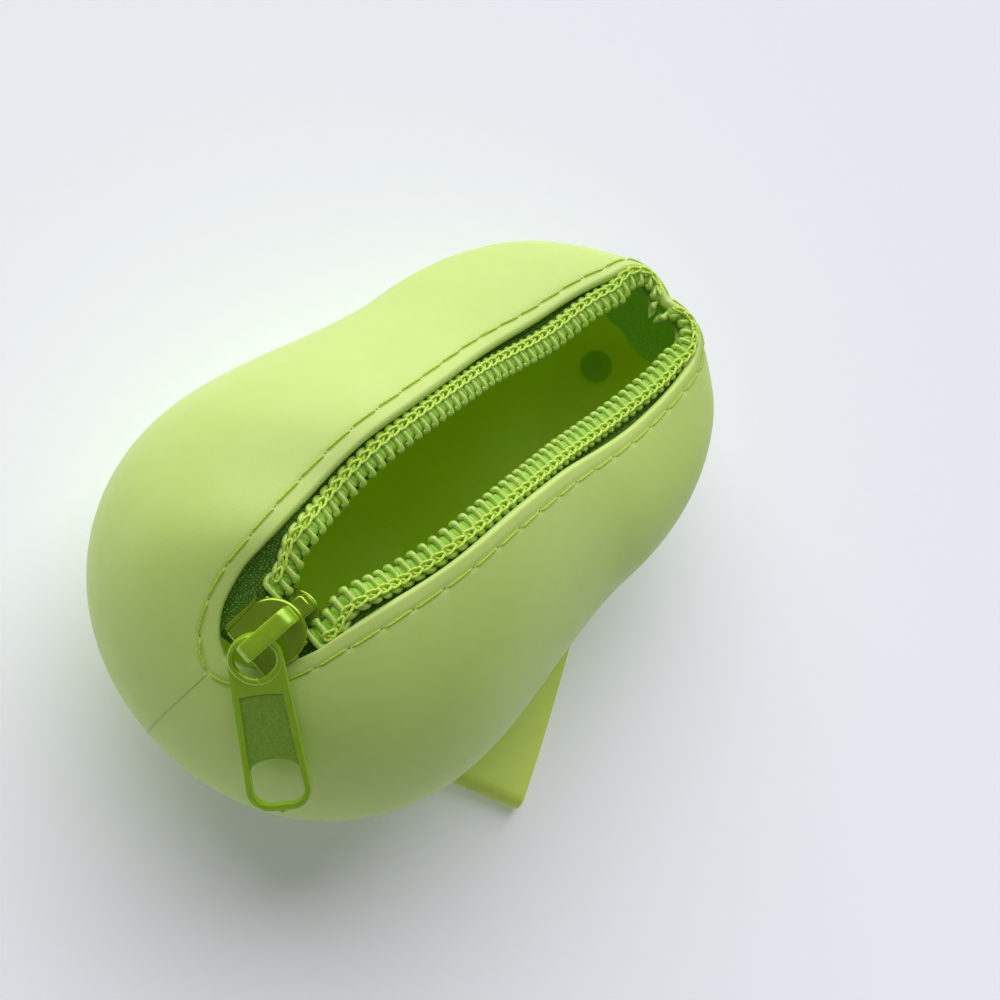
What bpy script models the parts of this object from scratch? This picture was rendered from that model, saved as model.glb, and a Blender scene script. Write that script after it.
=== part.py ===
"""Silicone makeup bag: a pebble-shaped moulded shell with a coil zip and a wrist strap.

Metres, +Z up.  The origin is on the surface that the bag rests on.
+X runs along the bag from the end where the zip starts to the end with the strap stud.
"""
import bisect
import math

import bpy
from mathutils import Matrix, Vector

# Outline of the shell, seen from above
NOSE_REACH = 0.0322
NEAR_CENTRE_X = -0.0220
NEAR_HALF_WIDTH = 0.0333
FAR_CENTRE_X = 0.0150
FAR_REACH = 0.0383
FAR_HALF_WIDTH = 0.0282
OUTLINE_POWER = 2.08
OUTLINE_STEPS = 24
WAIST_HEIGHT_NEAR = 0.0258
WAIST_HEIGHT_FAR = 0.0236

# Shell wall and underside
WALL = 0.0016
DOME_RATIOS = (0.05, 0.95)
SPINE_NEAR_X = -0.0220
SPINE_FAR_X = 0.0250
SPINE_SHARES = (0.16, 0.84)
SOLE_DEPTH = 0.0015
TAIL_LIFT = 0.0046
TAIL_LIFT_START_X = -0.0060
TAIL_LIFT_END_X = 0.0240
SOLE_EDGE_ANGLE = math.radians(80)

# Slider's place along the bag
SLIDER_X = -0.0387

# Mouth: half of the lip line seen from above, and the height of the rim along the bag.
# The near parts of both are measured from the slider.
MOUTH_LINE_NEAR = (
    (-0.0059, 0.0000), (-0.0049, 0.0026), (-0.0025, 0.0051), (0.0017, 0.0070), (0.0057, 0.0077),
)
MOUTH_LINE_FAR = (
    (-0.0250, 0.0089), (-0.0130, 0.0102), (-0.0010, 0.0102),
    (0.0090, 0.0103), (0.0190, 0.0106), (0.0290, 0.0105), (0.0370, 0.0101), (0.0440, 0.0092),
    (0.0480, 0.0083), (0.0503, 0.0068), (0.0514, 0.0048), (0.0511, 0.0028), (0.0502, 0.0012),
    (0.0495, 0.0000),
)
RIM_HEIGHTS_NEAR = ((-0.0093, 0.0389), (-0.0003, 0.0458), (0.0077, 0.0500))
RIM_HEIGHTS_FAR = (
    (-0.0210, 0.0504), (-0.0110, 0.0508), (-0.0010, 0.0483), (0.0090, 0.0439), (0.0190, 0.0390),
    (0.0290, 0.0351), (0.0390, 0.0325), (0.0470, 0.0306), (0.0530, 0.0295),
)

# The mouth leans to one side over its far half
MOUTH_LEAN = -0.0010
LEAN_START_X = 0.0100
LEAN_FULL_X = 0.0300
LEAN_FADE_X = 0.0440
LEAN_END_X = 0.0520

# Mesh density of the shell
MERIDIANS = 36
UPPER_RINGS = 8
LOWER_RINGS = 8
END_CROWDING = 0.45
SHARE_STEP = 0.004
RISE_STEP = 0.01
LIP_SAMPLES = 400
CURVE_STEPS = 8

# Zip chain: half gap between the coil heads along the bag, first as measured from the slider
COIL_GAPS_NEAR = (
    (0.0033, 0.0018), (0.0057, 0.0024), (0.0097, 0.0033), (0.0137, 0.0043), (0.0177, 0.0050),
    (0.0217, 0.0056),
)
COIL_GAPS_FAR = (
    (-0.0110, 0.0060), (-0.0030, 0.0060), (0.0050, 0.0060), (0.0150, 0.0059), (0.0270, 0.0056),
    (0.0380, 0.0056), (0.0440, 0.0049),
)
COIL_WIDTH = 0.0033
COIL_HEIGHT = 0.0018
COIL_PITCH = 0.00185
COIL_WAIST = 0.72
COIL_SAMPLES = 240
COIL_SIDES = 8
COIL_REST = 0.00045
TAPE_THICKNESS = 0.0005
TAPE_DROP = 0.0032
TAPE_FAR_SINK = 0.0008
TAPE_TUCK = 0.0034
TAPE_CLEARANCE = 0.0009
TAPE_LEVEL_SHARE = 0.8
TAPE_START_WIDTH = 0.0052
TAPE_START = 0.0007
TAPE_PART_START = 0.0008
TAPE_PART_END = 0.0022
TAPE_STATIONS = 50
TURN_STATIONS = 18
CHAIN_CENTRE_GAP = 0.0002
CHAIN_SWAY = 0.0010
CHAIN_RETURN = 0.0095
CHAIN_RISE_END = 0.0170
COIL_STITCH_RADIUS = 0.00035
COIL_STITCH_LINE = 0.66
COIL_STITCH_SETBACK = 0.0009

# Inner edge of the tape where it turns in to the middle at the far end
TURN_X = 0.0430
TURN_LINE = (
    (0.0460, 0.0054), (0.0479, 0.0047), (0.0488, 0.0036), (0.0485, 0.0023), (0.0472, 0.0012),
    (0.0463, 0.0004),
)
TURN_DROP = 0.0021
TURN_RISE = (0.2, 0.7)
TURN_NARROWING = (0.0, 0.4)
TURN_CLEARANCE = 0.00045

# Seam thread around the mouth
SEAM_MARGINS = (
    (-0.0440, 0.0032), (-0.0200, 0.0027), (0.0080, 0.0024), (0.0300, 0.0019), (0.0500, 0.0019),
)
SEAM_SAMPLES = 120
STITCH_LENGTH = 0.0051
STITCH_SHAPE = ((0.0, 0.4), (0.12, 1.0), (0.5, 1.0), (0.88, 1.0))
THREAD_RADIUS = 0.00025
THREAD_SIDES = 6

# Slider
SLIDER_SHIFT = -0.0017
SLIDER_LIFT = 0.0012
SLIDER_TILT = math.radians(29)
PLATE_LENGTH = 0.0104
PLATE_WIDTH = 0.0090
PLATE_REAR_WIDTH = 0.0082
PLATE_THICKNESS = 0.0010
PLATE_SETBACK = 0.0012
LOWER_PLATE_WIDTH = 0.0080
LOWER_PLATE_FRONT = 0.0058
POST_WIDTH = 0.0028
POST_LENGTH = 0.0044
POST_TAPER = 0.35
FLANGE_THICKNESS = 0.0006
FLANGE_FRONT = 0.0020
SHORT_FLANGE_REAR = 0.0002
TRACK_MIDDLE_X = 0.0020

# Bail over the slider plate
BAIL_WIDTH = 0.0020
BAIL_THICKNESS = 0.0009
BAIL_INSIDE_HEIGHT = 0.0043
BAIL_FRONT = 0.0036
BAIL_REAR = -0.0049
BAIL_HOOK_GAP = 0.0006
BAIL_BEND = 0.0010

# Puller, lying over the side of the shell; its eye and tip are measured from the slider
PULLER_EYE = (-0.0047, -0.0014, 0.0000)
PULLER_TIP = (-0.0118, -0.0183, -0.0107)
PULLER_FACING = (-0.625, -0.216, 0.750)
PULLER_THICKNESS = 0.0012
PULLER_EYE_HOLE = 0.0029
PULLER_EYE_RADIUS = 0.0037
PULLER_END_WIDTH = 0.0087
PULLER_CORNER = 0.0030
PULLER_EDGE = 0.00018
PULLER_RIM = 0.0008
WINDOW_LENGTH = 0.0040
WINDOW_ARCH = 0.0018
PANEL_DEPTH = 0.0002
PANEL_START = 0.0044
SWING_SKEW = math.radians(20)

# Wrist strap: a flat loop folded under the bag, and the stud that holds its ends
STRAP_WIDTH = 0.0140
STRAP_THICKNESS = 0.0017
FOLD_STEPS = 16
STRAP_LAYER_GAP = 0.0004
STRAP_CLEARANCE = 0.0008
STRAP_TIP = (-0.0155, -0.0376)
STRAP_TIP_HEADING = math.radians(27.6)
STRAP_END_TAB = 0.0046
STRAP_STATIONS = 26
STRAP_SAMPLES = 40
STRAP_RUN_STEP = 0.02
STRAP_LIFT_START_X = 0.0160
STRAP_LIFT_END_X = 0.0300
STUD_SETBACK = 0.0093
STUD_HEAD_RADIUS = 0.0026
STUD_HEAD_THICKNESS = 0.0010
STUD_HEAD_EDGE = 0.0004
STUD_STEM_RADIUS = 0.0012

# Running and resting clearance between pieces
GAP = 0.0003
ROUND_SIDES = 24
CORNER_STEPS = 6
SMOOTH_ANGLE = math.radians(40)


def with_slider(near, far):
    """Points of (x, value), the near ones moved along with the slider."""
    return (*((SLIDER_X + x, value) for x, value in near), *far)


MOUTH_LINE = with_slider(MOUTH_LINE_NEAR, MOUTH_LINE_FAR)
RIM_HEIGHTS = with_slider(RIM_HEIGHTS_NEAR, RIM_HEIGHTS_FAR)
COIL_GAPS = with_slider(COIL_GAPS_NEAR, COIL_GAPS_FAR)
STUD_X = FAR_CENTRE_X + FAR_REACH - STUD_SETBACK


def clear_scene():
    for thing in list(bpy.data.objects):
        bpy.data.objects.remove(thing, do_unlink=True)


def material(name, colour, roughness, metallic=0.0):
    made = bpy.data.materials.new(name)
    made.use_nodes = True
    shader = made.node_tree.nodes["Principled BSDF"]
    shader.inputs["Base Color"].default_value = (*colour, 1.0)
    shader.inputs["Roughness"].default_value = roughness
    shader.inputs["Metallic"].default_value = metallic
    return made


def smooth_step(start, end, value):
    t = min(max((value - start) / (end - start), 0.0), 1.0)
    return t * t * (3 - 2 * t)


def curve_through(points, steps):
    """Points of a smooth curve through the given ones."""
    points = [Vector(p) for p in points]
    ends = [2 * points[0] - points[1], *points, 2 * points[-1] - points[-2]]
    curve = []
    for a, b, c, d in zip(ends, ends[1:], ends[2:], ends[3:]):
        for step in range(steps):
            t = step / steps
            curve.append(0.5 * (2 * b + (c - a) * t + (2 * a - 5 * b + 4 * c - d) * t ** 2
                                + (3 * b - a - 3 * c + d) * t ** 3))
    curve.append(points[-1])
    return curve


def height_along(points, x):
    """Value at x on the smooth curve through (x, value) points, level past its ends."""
    if x <= points[0][0]:
        return points[0][1]
    if x >= points[-1][0]:
        return points[-1][1]
    i = bisect.bisect_right([p[0] for p in points], x) - 1
    before, after = max(i - 1, 0), min(i + 2, len(points) - 1)
    span = points[i + 1][0] - points[i][0]
    t = (x - points[i][0]) / span
    slope_in = (points[i + 1][1] - points[before][1]) / (points[i + 1][0] - points[before][0])
    slope_out = (points[after][1] - points[i][1]) / (points[after][0] - points[i][0])
    return ((2 * t ** 3 - 3 * t ** 2 + 1) * points[i][1] + (t ** 3 - 2 * t ** 2 + t) * span * slope_in
            + (3 * t ** 2 - 2 * t ** 3) * points[i + 1][1] + (t ** 3 - t ** 2) * span * slope_out)


def rim_height(x):
    return height_along(RIM_HEIGHTS, x)


class EvenCurve:
    """A curve read by its share of length, 0 at the start and 1 at the end."""

    def __init__(self, points):
        self.points = points
        self.reach = [0.0]
        for a, b in zip(points, points[1:]):
            self.reach.append(self.reach[-1] + (b - a).length)
        self.length = self.reach[-1]

    def at(self, share):
        wanted = min(max(share, 0.0), 1.0) * self.length
        i = min(max(bisect.bisect_right(self.reach, wanted) - 1, 0), len(self.points) - 2)
        step = self.reach[i + 1] - self.reach[i]
        return self.points[i].lerp(self.points[i + 1], (wanted - self.reach[i]) / step)


# Shell surface

def outline_half():
    """Widest line of the shell on the +Y side, from the nose to the tail."""
    line = []
    quarter = OUTLINE_STEPS
    power = 2 / OUTLINE_POWER
    for step in range(quarter + 1):
        angle = math.pi / 2 * step / quarter
        x = NEAR_CENTRE_X - NOSE_REACH * math.cos(angle) ** power
        line.append((x, NEAR_HALF_WIDTH * math.sin(angle) ** power))
    middle = OUTLINE_STEPS // 2
    for step in range(1, middle):
        x = NEAR_CENTRE_X + (FAR_CENTRE_X - NEAR_CENTRE_X) * step / middle
        ease = smooth_step(NEAR_CENTRE_X, FAR_CENTRE_X, x)
        line.append((x, NEAR_HALF_WIDTH + (FAR_HALF_WIDTH - NEAR_HALF_WIDTH) * ease))
    for step in range(quarter + 1):
        angle = math.pi / 2 * (1 - step / quarter)
        x = FAR_CENTRE_X + FAR_REACH * math.cos(angle) ** power
        line.append((x, FAR_HALF_WIDTH * math.sin(angle) ** power))
    nose, tail = line[0][0], line[-1][0]
    drop = WAIST_HEIGHT_FAR - WAIST_HEIGHT_NEAR
    return [Vector((x, y, WAIST_HEIGHT_NEAR + drop * (x - nose) / (tail - nose))) for x, y in line]


OUTLINE = EvenCurve(outline_half())
LIP_PLAN = curve_through([(*p, 0.0) for p in MOUTH_LINE], CURVE_STEPS)
LIP = EvenCurve([Vector((p.x, p.y, rim_height(p.x))) for p in LIP_PLAN])


def spine_point(share):
    """Point under the middle of the shell that a meridian bends around."""
    x = SPINE_NEAR_X + (SPINE_FAR_X - SPINE_NEAR_X) * smooth_step(*SPINE_SHARES, share)
    return Vector((x, 0.0, 0.0))


def sole_height(x):
    return -SOLE_DEPTH + (SOLE_DEPTH + TAIL_LIFT) * smooth_step(TAIL_LIFT_START_X, TAIL_LIFT_END_X, x)


def level(point):
    return Vector((point.x, point.y, 0.0))


def upper_point(share, rise):
    """Outer surface above the outline: rise 0 at the outline, 1 at the lip."""
    edge, lip, spine = OUTLINE.at(share), LIP.at(share), spine_point(share)
    ratio = (level(lip) - spine).length / (level(edge) - spine).length
    top = math.acos(min(max(ratio, DOME_RATIOS[0]), DOME_RATIOS[1]))
    angle = top * rise
    place = edge.lerp(lip, (1 - math.cos(angle)) / (1 - math.cos(top)))
    place.z = edge.z + (lip.z - edge.z) * math.sin(angle) / math.sin(top)
    return place


def lower_point(share, angle):
    """Outer surface below the outline, flat where the bag rests."""
    edge, spine = OUTLINE.at(share), spine_point(share)
    place = spine + (level(edge) - spine) * math.cos(angle)
    place.z = max(edge.z - (edge.z - sole_height(spine.x)) * math.sin(angle), 0.0)
    return place


def meridian_share(step, count):
    """Shares of the way round, closer together at both ends of the mouth."""
    even = step / count
    return even - END_CROWDING * math.sin(2 * math.pi * even) / (2 * math.pi)


def surface_from_lip(share, distance):
    """Outer surface point at a distance down the shell from the lip, with its normal."""
    far = 1.0
    place = upper_point(share, far)
    walked = 0.0
    while walked < distance and far > 0.0:
        far -= RISE_STEP
        following = upper_point(share, far)
        walked += (following - place).length
        place = following
    down = (upper_point(share, far - 2 * RISE_STEP) - place).normalized()
    along = (upper_point(share + SHARE_STEP, far) - upper_point(share - SHARE_STEP, far)).normalized()
    normal = down.cross(along).normalized()
    return place, normal if normal.z > 0 else -normal


def mirrored(points):
    return [Vector((p.x, -p.y, p.z)) for p in points]


def leaning(points):
    """Points moved sideways with the mouth, less the further they are below its rim."""
    moved = []
    for p in points:
        along = smooth_step(LEAN_START_X, LEAN_FULL_X, p.x) * (1 - smooth_step(LEAN_FADE_X, LEAN_END_X, p.x))
        upward = smooth_step(WAIST_HEIGHT_FAR, rim_height(p.x) - TAPE_DROP, p.z)
        moved.append(Vector((p.x, p.y + MOUTH_LEAN * along * upward, p.z)))
    return moved


# Meshes

def mesh_object(name, verts, faces, finish, smooth=True):
    mesh = bpy.data.meshes.new(name)
    mesh.from_pydata(verts, [], faces)
    mesh.materials.append(finish)
    made = bpy.data.objects.new(name, mesh)
    bpy.context.scene.collection.objects.link(made)
    face_outward(mesh)
    if smooth:
        mesh.shade_smooth()
        mesh.set_sharp_from_angle(angle=SMOOTH_ANGLE)
    return made


def face_outward(mesh):
    volume = 0.0
    for face in mesh.polygons:
        corners = [mesh.vertices[i].co for i in face.vertices]
        for b, c in zip(corners[1:], corners[2:]):
            volume += corners[0].dot(b.cross(c))
    if volume < 0:
        mesh.flip_normals()


def sweep(name, rings, finish, smooth=True):
    """A closed body through rings of points, all with as many points, capped at both ends."""
    count = len(rings[0])
    verts = [p for ring in rings for p in ring]
    faces = [tuple(range(count)), tuple(range(len(verts) - count, len(verts)))[::-1]]
    for row in range(len(rings) - 1):
        for i in range(count):
            j = (i + 1) % count
            a, b = row * count + i, row * count + j
            faces.append((a, a + count, b + count, b))
    return mesh_object(name, verts, faces, finish, smooth)


def prism(name, outline, low, high, finish, edge=0.0, place=Matrix.Identity(4)):
    """An outline in X and Y given thickness, with chamfered edges where edge is set."""
    rings = []
    levels = [(low, 0.0), (high, 0.0)]
    if edge:
        levels = [(low, edge), (low + edge, 0.0), (high - edge, 0.0), (high, edge)]
    for height, inset in levels:
        rings.append([place @ Vector((x, y, height)) for x, y in inset_outline(outline, inset)])
    return sweep(name, rings, finish, smooth=False)


def inset_outline(outline, inset):
    if inset == 0.0:
        return outline
    moved = []
    for before, here, after in zip(outline[-1:] + outline[:-1], outline, outline[1:] + outline[:1]):
        run = Vector(after) - Vector(before)
        normal = Vector((-run.y, run.x)).normalized()
        moved.append((here[0] + normal.x * inset, here[1] + normal.y * inset))
    return moved


def combine(target, other, operation):
    """Cuts another body out of the target, or joins it on."""
    change = target.modifiers.new(operation.lower() + "_" + other.name, "BOOLEAN")
    change.operation = operation
    change.object = other
    other.hide_render = True
    other.display_type = "WIRE"


def tube_rings(points, radii, sides, flat=1.0):
    """Rings of a round tube along points; flat squeezes it along its upright axis."""
    rings = []
    for i, (point, radius) in enumerate(zip(points, radii)):
        run = points[min(i + 1, len(points) - 1)] - points[max(i - 1, 0)]
        across = run.cross(Vector((0, 0, 1))).normalized()
        up = across.cross(run).normalized()
        turns = [2 * math.pi * (k + 0.5) / sides for k in range(sides)]
        wide, high = across * radius, up * radius * flat
        rings.append([point + wide * math.cos(t) + high * math.sin(t) for t in turns])
    return rings


def shell(finish):
    """The moulded body, open along its mouth."""
    half = MERIDIANS
    shares = [meridian_share(i, half) for i in range(half + 1)]
    rows = [[upper_point(s, 1 - k / UPPER_RINGS) for s in shares] for k in range(UPPER_RINGS)]
    for k in range(LOWER_RINGS + 1):
        rows.append([lower_point(s, SOLE_EDGE_ANGLE * k / LOWER_RINGS) for s in shares])
    verts = []
    for row in rows:
        verts += leaning(row + mirrored(row[1:-1])[::-1])
    count = 2 * half
    faces = []
    for row in range(len(rows) - 1):
        for i in range(count):
            a, b = row * count + i, row * count + (i + 1) % count
            faces.append((a, b, b + count, a + count))
    base = (len(rows) - 1) * count
    faces.append((base, base + 1, base + count - 1))
    for i in range(1, half - 1):
        faces.append((base + i, base + i + 1, base + count - i - 1, base + count - i))
    faces.append((base + half - 1, base + half, base + half + 1))
    body = mesh_object("body_shell", verts, faces, finish)
    wall = body.modifiers.new("wall", "SOLIDIFY")
    wall.thickness = WALL
    wall.offset = -1
    wall.use_even_offset = True
    return body


# Zip chain

def chain_centre(x):
    """The chain runs through the slider, which sits to one side of the mouth's middle."""
    into = smooth_step(LIP.at(0.0).x + CHAIN_SWAY, SLIDER_X - PLATE_LENGTH / 4, x)
    return SLIDER_SHIFT * into * (1 - smooth_step(SLIDER_X + PLATE_LENGTH / 2, SLIDER_X + CHAIN_RETURN, x))


def slider_origin():
    return Vector((SLIDER_X, SLIDER_SHIFT, rim_height(SLIDER_X) + SLIDER_LIFT))


def slider_level(x, depth):
    """Height at x of a plane that lies a depth below the top of the slider's plate."""
    origin = slider_origin()
    return origin.z + (x - origin.x) * math.tan(SLIDER_TILT) - depth / math.cos(SLIDER_TILT)


TAPE_DEPTH = PLATE_THICKNESS + GAP + COIL_HEIGHT + COIL_REST


def tape_height(x):
    """Top of the tape at its inner edge."""
    blend = smooth_step(SLIDER_X + LOWER_PLATE_FRONT + CHAIN_SWAY, SLIDER_X + CHAIN_RISE_END, x)
    drop = TAPE_DROP + TAPE_FAR_SINK * smooth_step(LEAN_FULL_X, TURN_X, x)
    return slider_level(x, TAPE_DEPTH) * (1 - blend) + (rim_height(x) - drop) * blend


def coil_gap(x):
    return height_along(COIL_GAPS, x)


def tape_gap(x):
    """Half gap between the tapes: closed behind the slider's post, then apart."""
    open_gap = max(coil_gap(x), POST_WIDTH / 2 + GAP) + GAP
    part = smooth_step(SLIDER_X + TAPE_PART_START, SLIDER_X + TAPE_PART_END, x)
    return CHAIN_CENTRE_GAP + (open_gap - CHAIN_CENTRE_GAP) * part


def tape_ring(share, inner, outward, reach, clear):
    """Section of the tape: level from its inner edge, then tucked down inside the shell."""
    tucked = []
    for distance in (TAPE_TUCK / 2, TAPE_TUCK):
        place, out = surface_from_lip(share, distance)
        tucked.append(place - out * (WALL + clear))
    room = level(tucked[0] - inner).dot(outward)
    line = [inner, inner + outward * min(reach, room * TAPE_LEVEL_SHARE), *tucked]
    along = LIP.at(share + SHARE_STEP) - LIP.at(share - SHARE_STEP)
    back = []
    for i, spot in enumerate(line):
        run = line[min(i + 1, len(line) - 1)] - line[max(i - 1, 0)]
        way = run.cross(along).normalized()
        if way.z + way.dot(outward) > 0:
            way = -way
        back.append(spot + way * TAPE_THICKNESS)
    return line + back[::-1]


def tape(side, name, finish):
    """Woven tape, sewn under the lip and carrying the coil on its inner edge."""
    rings = []
    samples = [k / LIP_SAMPLES for k in range(LIP_SAMPLES)]
    start_share = next(
        share for share in samples if LIP.at(share).y - side * chain_centre(SLIDER_X) > TAPE_START_WIDTH
    )
    lip_start = LIP.at(start_share).x
    start_x = lip_start + TAPE_START
    turn_share = next(share for share in samples if LIP.at(share).x > TURN_X)
    turn_start = LIP.at(turn_share).x
    flat_width = PLATE_WIDTH / 2 + GAP
    for step in range(TAPE_STATIONS + 1):
        share = start_share + (turn_share - start_share) * step / TAPE_STATIONS
        lip = LIP.at(share)
        x = start_x + (turn_start - start_x) * (lip.x - lip_start) / (turn_start - lip_start)
        centre = side * chain_centre(x)
        inner = Vector((x, centre + tape_gap(x), tape_height(x)))
        in_slider = 1 - smooth_step(SLIDER_X + PLATE_LENGTH / 2, SLIDER_X + PLATE_LENGTH, x)
        level_to = max(inner.y + COIL_WIDTH + GAP, (centre + flat_width) * in_slider)
        rings.append(tape_ring(share, inner, Vector((0.0, 1.0, 0.0)), level_to - inner.y, TAPE_CLEARANCE))
    turn = curve_through([(turn_start, tape_gap(turn_start), 0.0), *((*p, 0.0) for p in TURN_LINE)], CURVE_STEPS)
    line = EvenCurve(turn)
    for step in range(1, TURN_STATIONS + 1):
        part = step / TURN_STATIONS
        share = turn_share + (1 - turn_share) * part
        lip = LIP.at(share)
        inner = line.at(part)
        rise = TAPE_DROP + TAPE_FAR_SINK - TURN_DROP
        inner.z = tape_height(inner.x) + rise * smooth_step(*TURN_RISE, part)
        outward = level(lip - inner)
        narrowed = smooth_step(*TURN_NARROWING, part)
        reach = outward.length - (WALL + 2 * GAP) * narrowed
        clear = TAPE_CLEARANCE + (TURN_CLEARANCE - TAPE_CLEARANCE) * narrowed
        ring = tape_ring(share, inner, outward.normalized(), min(COIL_WIDTH + GAP, reach), clear)
        rings.append([Vector((p.x, max(p.y, CHAIN_CENTRE_GAP), p.z)) for p in ring])
    rings = [leaning(ring if side > 0 else mirrored(ring)) for ring in rings]
    return sweep(name, rings, finish)


def coil_line(side, inset, lift, first=COIL_GAPS[0][0]):
    """Points along the coil at a distance in from its heads and above the tape."""
    last = COIL_GAPS[-1][0]
    flat = []
    for step in range(COIL_SAMPLES + 1):
        x = first + (last - first) * step / COIL_SAMPLES
        y = side * (coil_gap(x) + inset) + chain_centre(x)
        flat.append(Vector((x, y, tape_height(x) + lift)))
    return EvenCurve(leaning(flat))


def coil(side, name, finish):
    """One half of the coil: a flattened spiral, formed here as ribs at its pitch."""
    line = coil_line(side, COIL_WIDTH / 2, COIL_REST + COIL_HEIGHT / 2)
    curls = int(line.length / COIL_PITCH)
    points = []
    radii = []
    for step in range(2 * curls + 1):
        points.append(line.at(step / (2 * curls)))
        radii.append(COIL_WIDTH / 2 * (1.0 if step % 2 else COIL_WAIST))
    return sweep(name, tube_rings(points, radii, COIL_SIDES, COIL_HEIGHT / COIL_WIDTH), finish, smooth=False)


def coil_stitching(side, name, finish):
    """Thread that sews the coil to the tape, along the coil's outer shoulder."""
    plate_front = SLIDER_X + PLATE_LENGTH / 2 * math.cos(SLIDER_TILT) + COIL_STITCH_SETBACK
    lift = COIL_REST + COIL_HEIGHT + GAP + COIL_STITCH_RADIUS
    line = coil_line(side, COIL_WIDTH * COIL_STITCH_LINE, lift, plate_front)
    count = int(line.length / COIL_PITCH)
    points = [line.at(step / count) for step in range(count + 1)]
    radii = [COIL_STITCH_RADIUS] * (count + 1)
    return sweep(name, tube_rings(points, radii, THREAD_SIDES), finish)


def seam_thread(side, name, finish):
    """Sewing thread on the outside of the lip, thinner where it dips into each needle hole."""
    lifted = []
    for k in range(SEAM_SAMPLES + 1):
        share = k / SEAM_SAMPLES
        place, out = surface_from_lip(share, height_along(SEAM_MARGINS, LIP.at(share).x))
        lifted.append(place + out * (GAP + THREAD_RADIUS))
    clear = GAP / 2 + THREAD_RADIUS
    line = EvenCurve([Vector((p.x, max(p.y, clear), p.z)) for p in lifted])
    stitches = round(line.length / STITCH_LENGTH)
    points = []
    radii = []
    for stitch in range(stitches):
        for part, fullness in STITCH_SHAPE:
            points.append(line.at((stitch + part) / stitches))
            radii.append(THREAD_RADIUS * fullness)
    points.append(line.at(1.0))
    radii.append(radii[0])
    points = leaning(points if side > 0 else mirrored(points))
    return sweep(name, tube_rings(points, radii, THREAD_SIDES), finish)


# Slider

def slider_place():
    return Matrix.Translation(slider_origin()) @ Matrix.Rotation(-SLIDER_TILT, 4, "Y")


def plate_outline(length, front_width, rear_width, front):
    """Half-round front on straight sides that narrow to the rear."""
    rear = front - length
    start = front - front_width / 2
    outline = [(rear, rear_width / 2), (rear, -rear_width / 2)]
    for step in range(ROUND_SIDES // 2 + 1):
        angle = -math.pi / 2 + math.pi * step / (ROUND_SIDES // 2)
        outline.append((start + front_width / 2 * math.cos(angle), front_width / 2 * math.sin(angle)))
    return outline


def block_outline(rear, front, low, high):
    return [(rear, low), (front, low), (front, high), (rear, high)]


def slider_body(finish):
    """Top plate, post, lower plate and side flanges, with the channel for the chain between."""
    place = slider_place()
    half = PLATE_LENGTH / 2
    channel = TAPE_DEPTH - PLATE_THICKNESS + TAPE_THICKNESS / math.cos(SLIDER_TILT) + GAP
    lower_top = -PLATE_THICKNESS - channel
    outline = plate_outline(PLATE_LENGTH - PLATE_SETBACK, PLATE_WIDTH, PLATE_REAR_WIDTH, half - PLATE_SETBACK)
    body = prism("slider_body", outline, -PLATE_THICKNESS, 0.0, finish, PLATE_THICKNESS / 4, place)
    lower_length = LOWER_PLATE_FRONT + half
    lower = plate_outline(lower_length, LOWER_PLATE_WIDTH, LOWER_PLATE_WIDTH, LOWER_PLATE_FRONT)
    lower_low = lower_top - PLATE_THICKNESS
    parts = [prism("lower_plate", lower, lower_low, lower_top, finish, PLATE_THICKNESS / 4, place)]
    bite = PLATE_THICKNESS / 2
    post_front = LOWER_PLATE_FRONT - PLATE_THICKNESS / 4
    shoulder = post_front - POST_LENGTH * (1 - POST_TAPER)
    wide = POST_WIDTH / 2
    post = block_outline(shoulder, post_front, -wide, wide)
    post.append((post_front - POST_LENGTH, 0.0))
    parts.append(prism("post", post, lower_top - bite, -bite, finish, 0.0, place))
    flange_low = -PLATE_THICKNESS - GAP - COIL_HEIGHT
    outer = PLATE_REAR_WIDTH / 2
    flanges = (("long_flange", -half + PLATE_THICKNESS, 1), ("short_flange", SHORT_FLANGE_REAR, -1))
    for name, rear, sign in flanges:
        low, high = sorted((sign * (outer - FLANGE_THICKNESS), sign * outer))
        block = block_outline(rear, FLANGE_FRONT, low, high)
        parts.append(prism(name, block, flange_low, -bite, finish, 0.0, place))
    for part in parts:
        combine(body, part, "UNION")
    return body


def bail(finish):
    """Flat band from a foot at the front of the plate, back over it to a hooked end."""
    inside, half = BAIL_INSIDE_HEIGHT, BAIL_THICKNESS / 2
    front, rear = BAIL_FRONT - half, BAIL_REAR + half
    top = inside + half
    path = [(front, GAP), (front, inside / 2)]
    bend = BAIL_BEND
    for centre, turned in ((front - bend, 0), (rear + bend, 1)):
        for step in range(CORNER_STEPS + 1):
            angle = math.pi / 2 * (turned + step / CORNER_STEPS)
            path.append((centre + bend * math.cos(angle), top - bend + bend * math.sin(angle)))
    path.append((rear, BAIL_HOOK_GAP))
    place = slider_place()
    rings = []
    for i, (x, z) in enumerate(path):
        before, after = path[max(i - 1, 0)], path[min(i + 1, len(path) - 1)]
        run = Vector((after[0] - before[0], after[1] - before[1])).normalized()
        out = Vector((run.y, -run.x)) * half
        wide = BAIL_WIDTH / 2
        ring = []
        for y, face in ((-wide, 1), (wide, 1), (wide, -1), (-wide, -1)):
            ring.append(place @ Vector((x + out.x * face, y, z + out.y * face)))
        rings.append(ring)
    return sweep("slider_bail", rings, finish)


# Puller

def puller_place():
    """Frame of the puller: X along it from the eye, Z off the shell."""
    eye, tip = slider_origin() + Vector(PULLER_EYE), slider_origin() + Vector(PULLER_TIP)
    along = (tip - eye).normalized()
    facing = Vector(PULLER_FACING)
    facing = (facing - along * facing.dot(along)).normalized()
    across = facing.cross(along)
    turn = Matrix((along, across, facing)).transposed().to_4x4()
    return Matrix.Translation(eye) @ turn


def puller_reach():
    return (Vector(PULLER_TIP) - Vector(PULLER_EYE)).length


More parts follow.
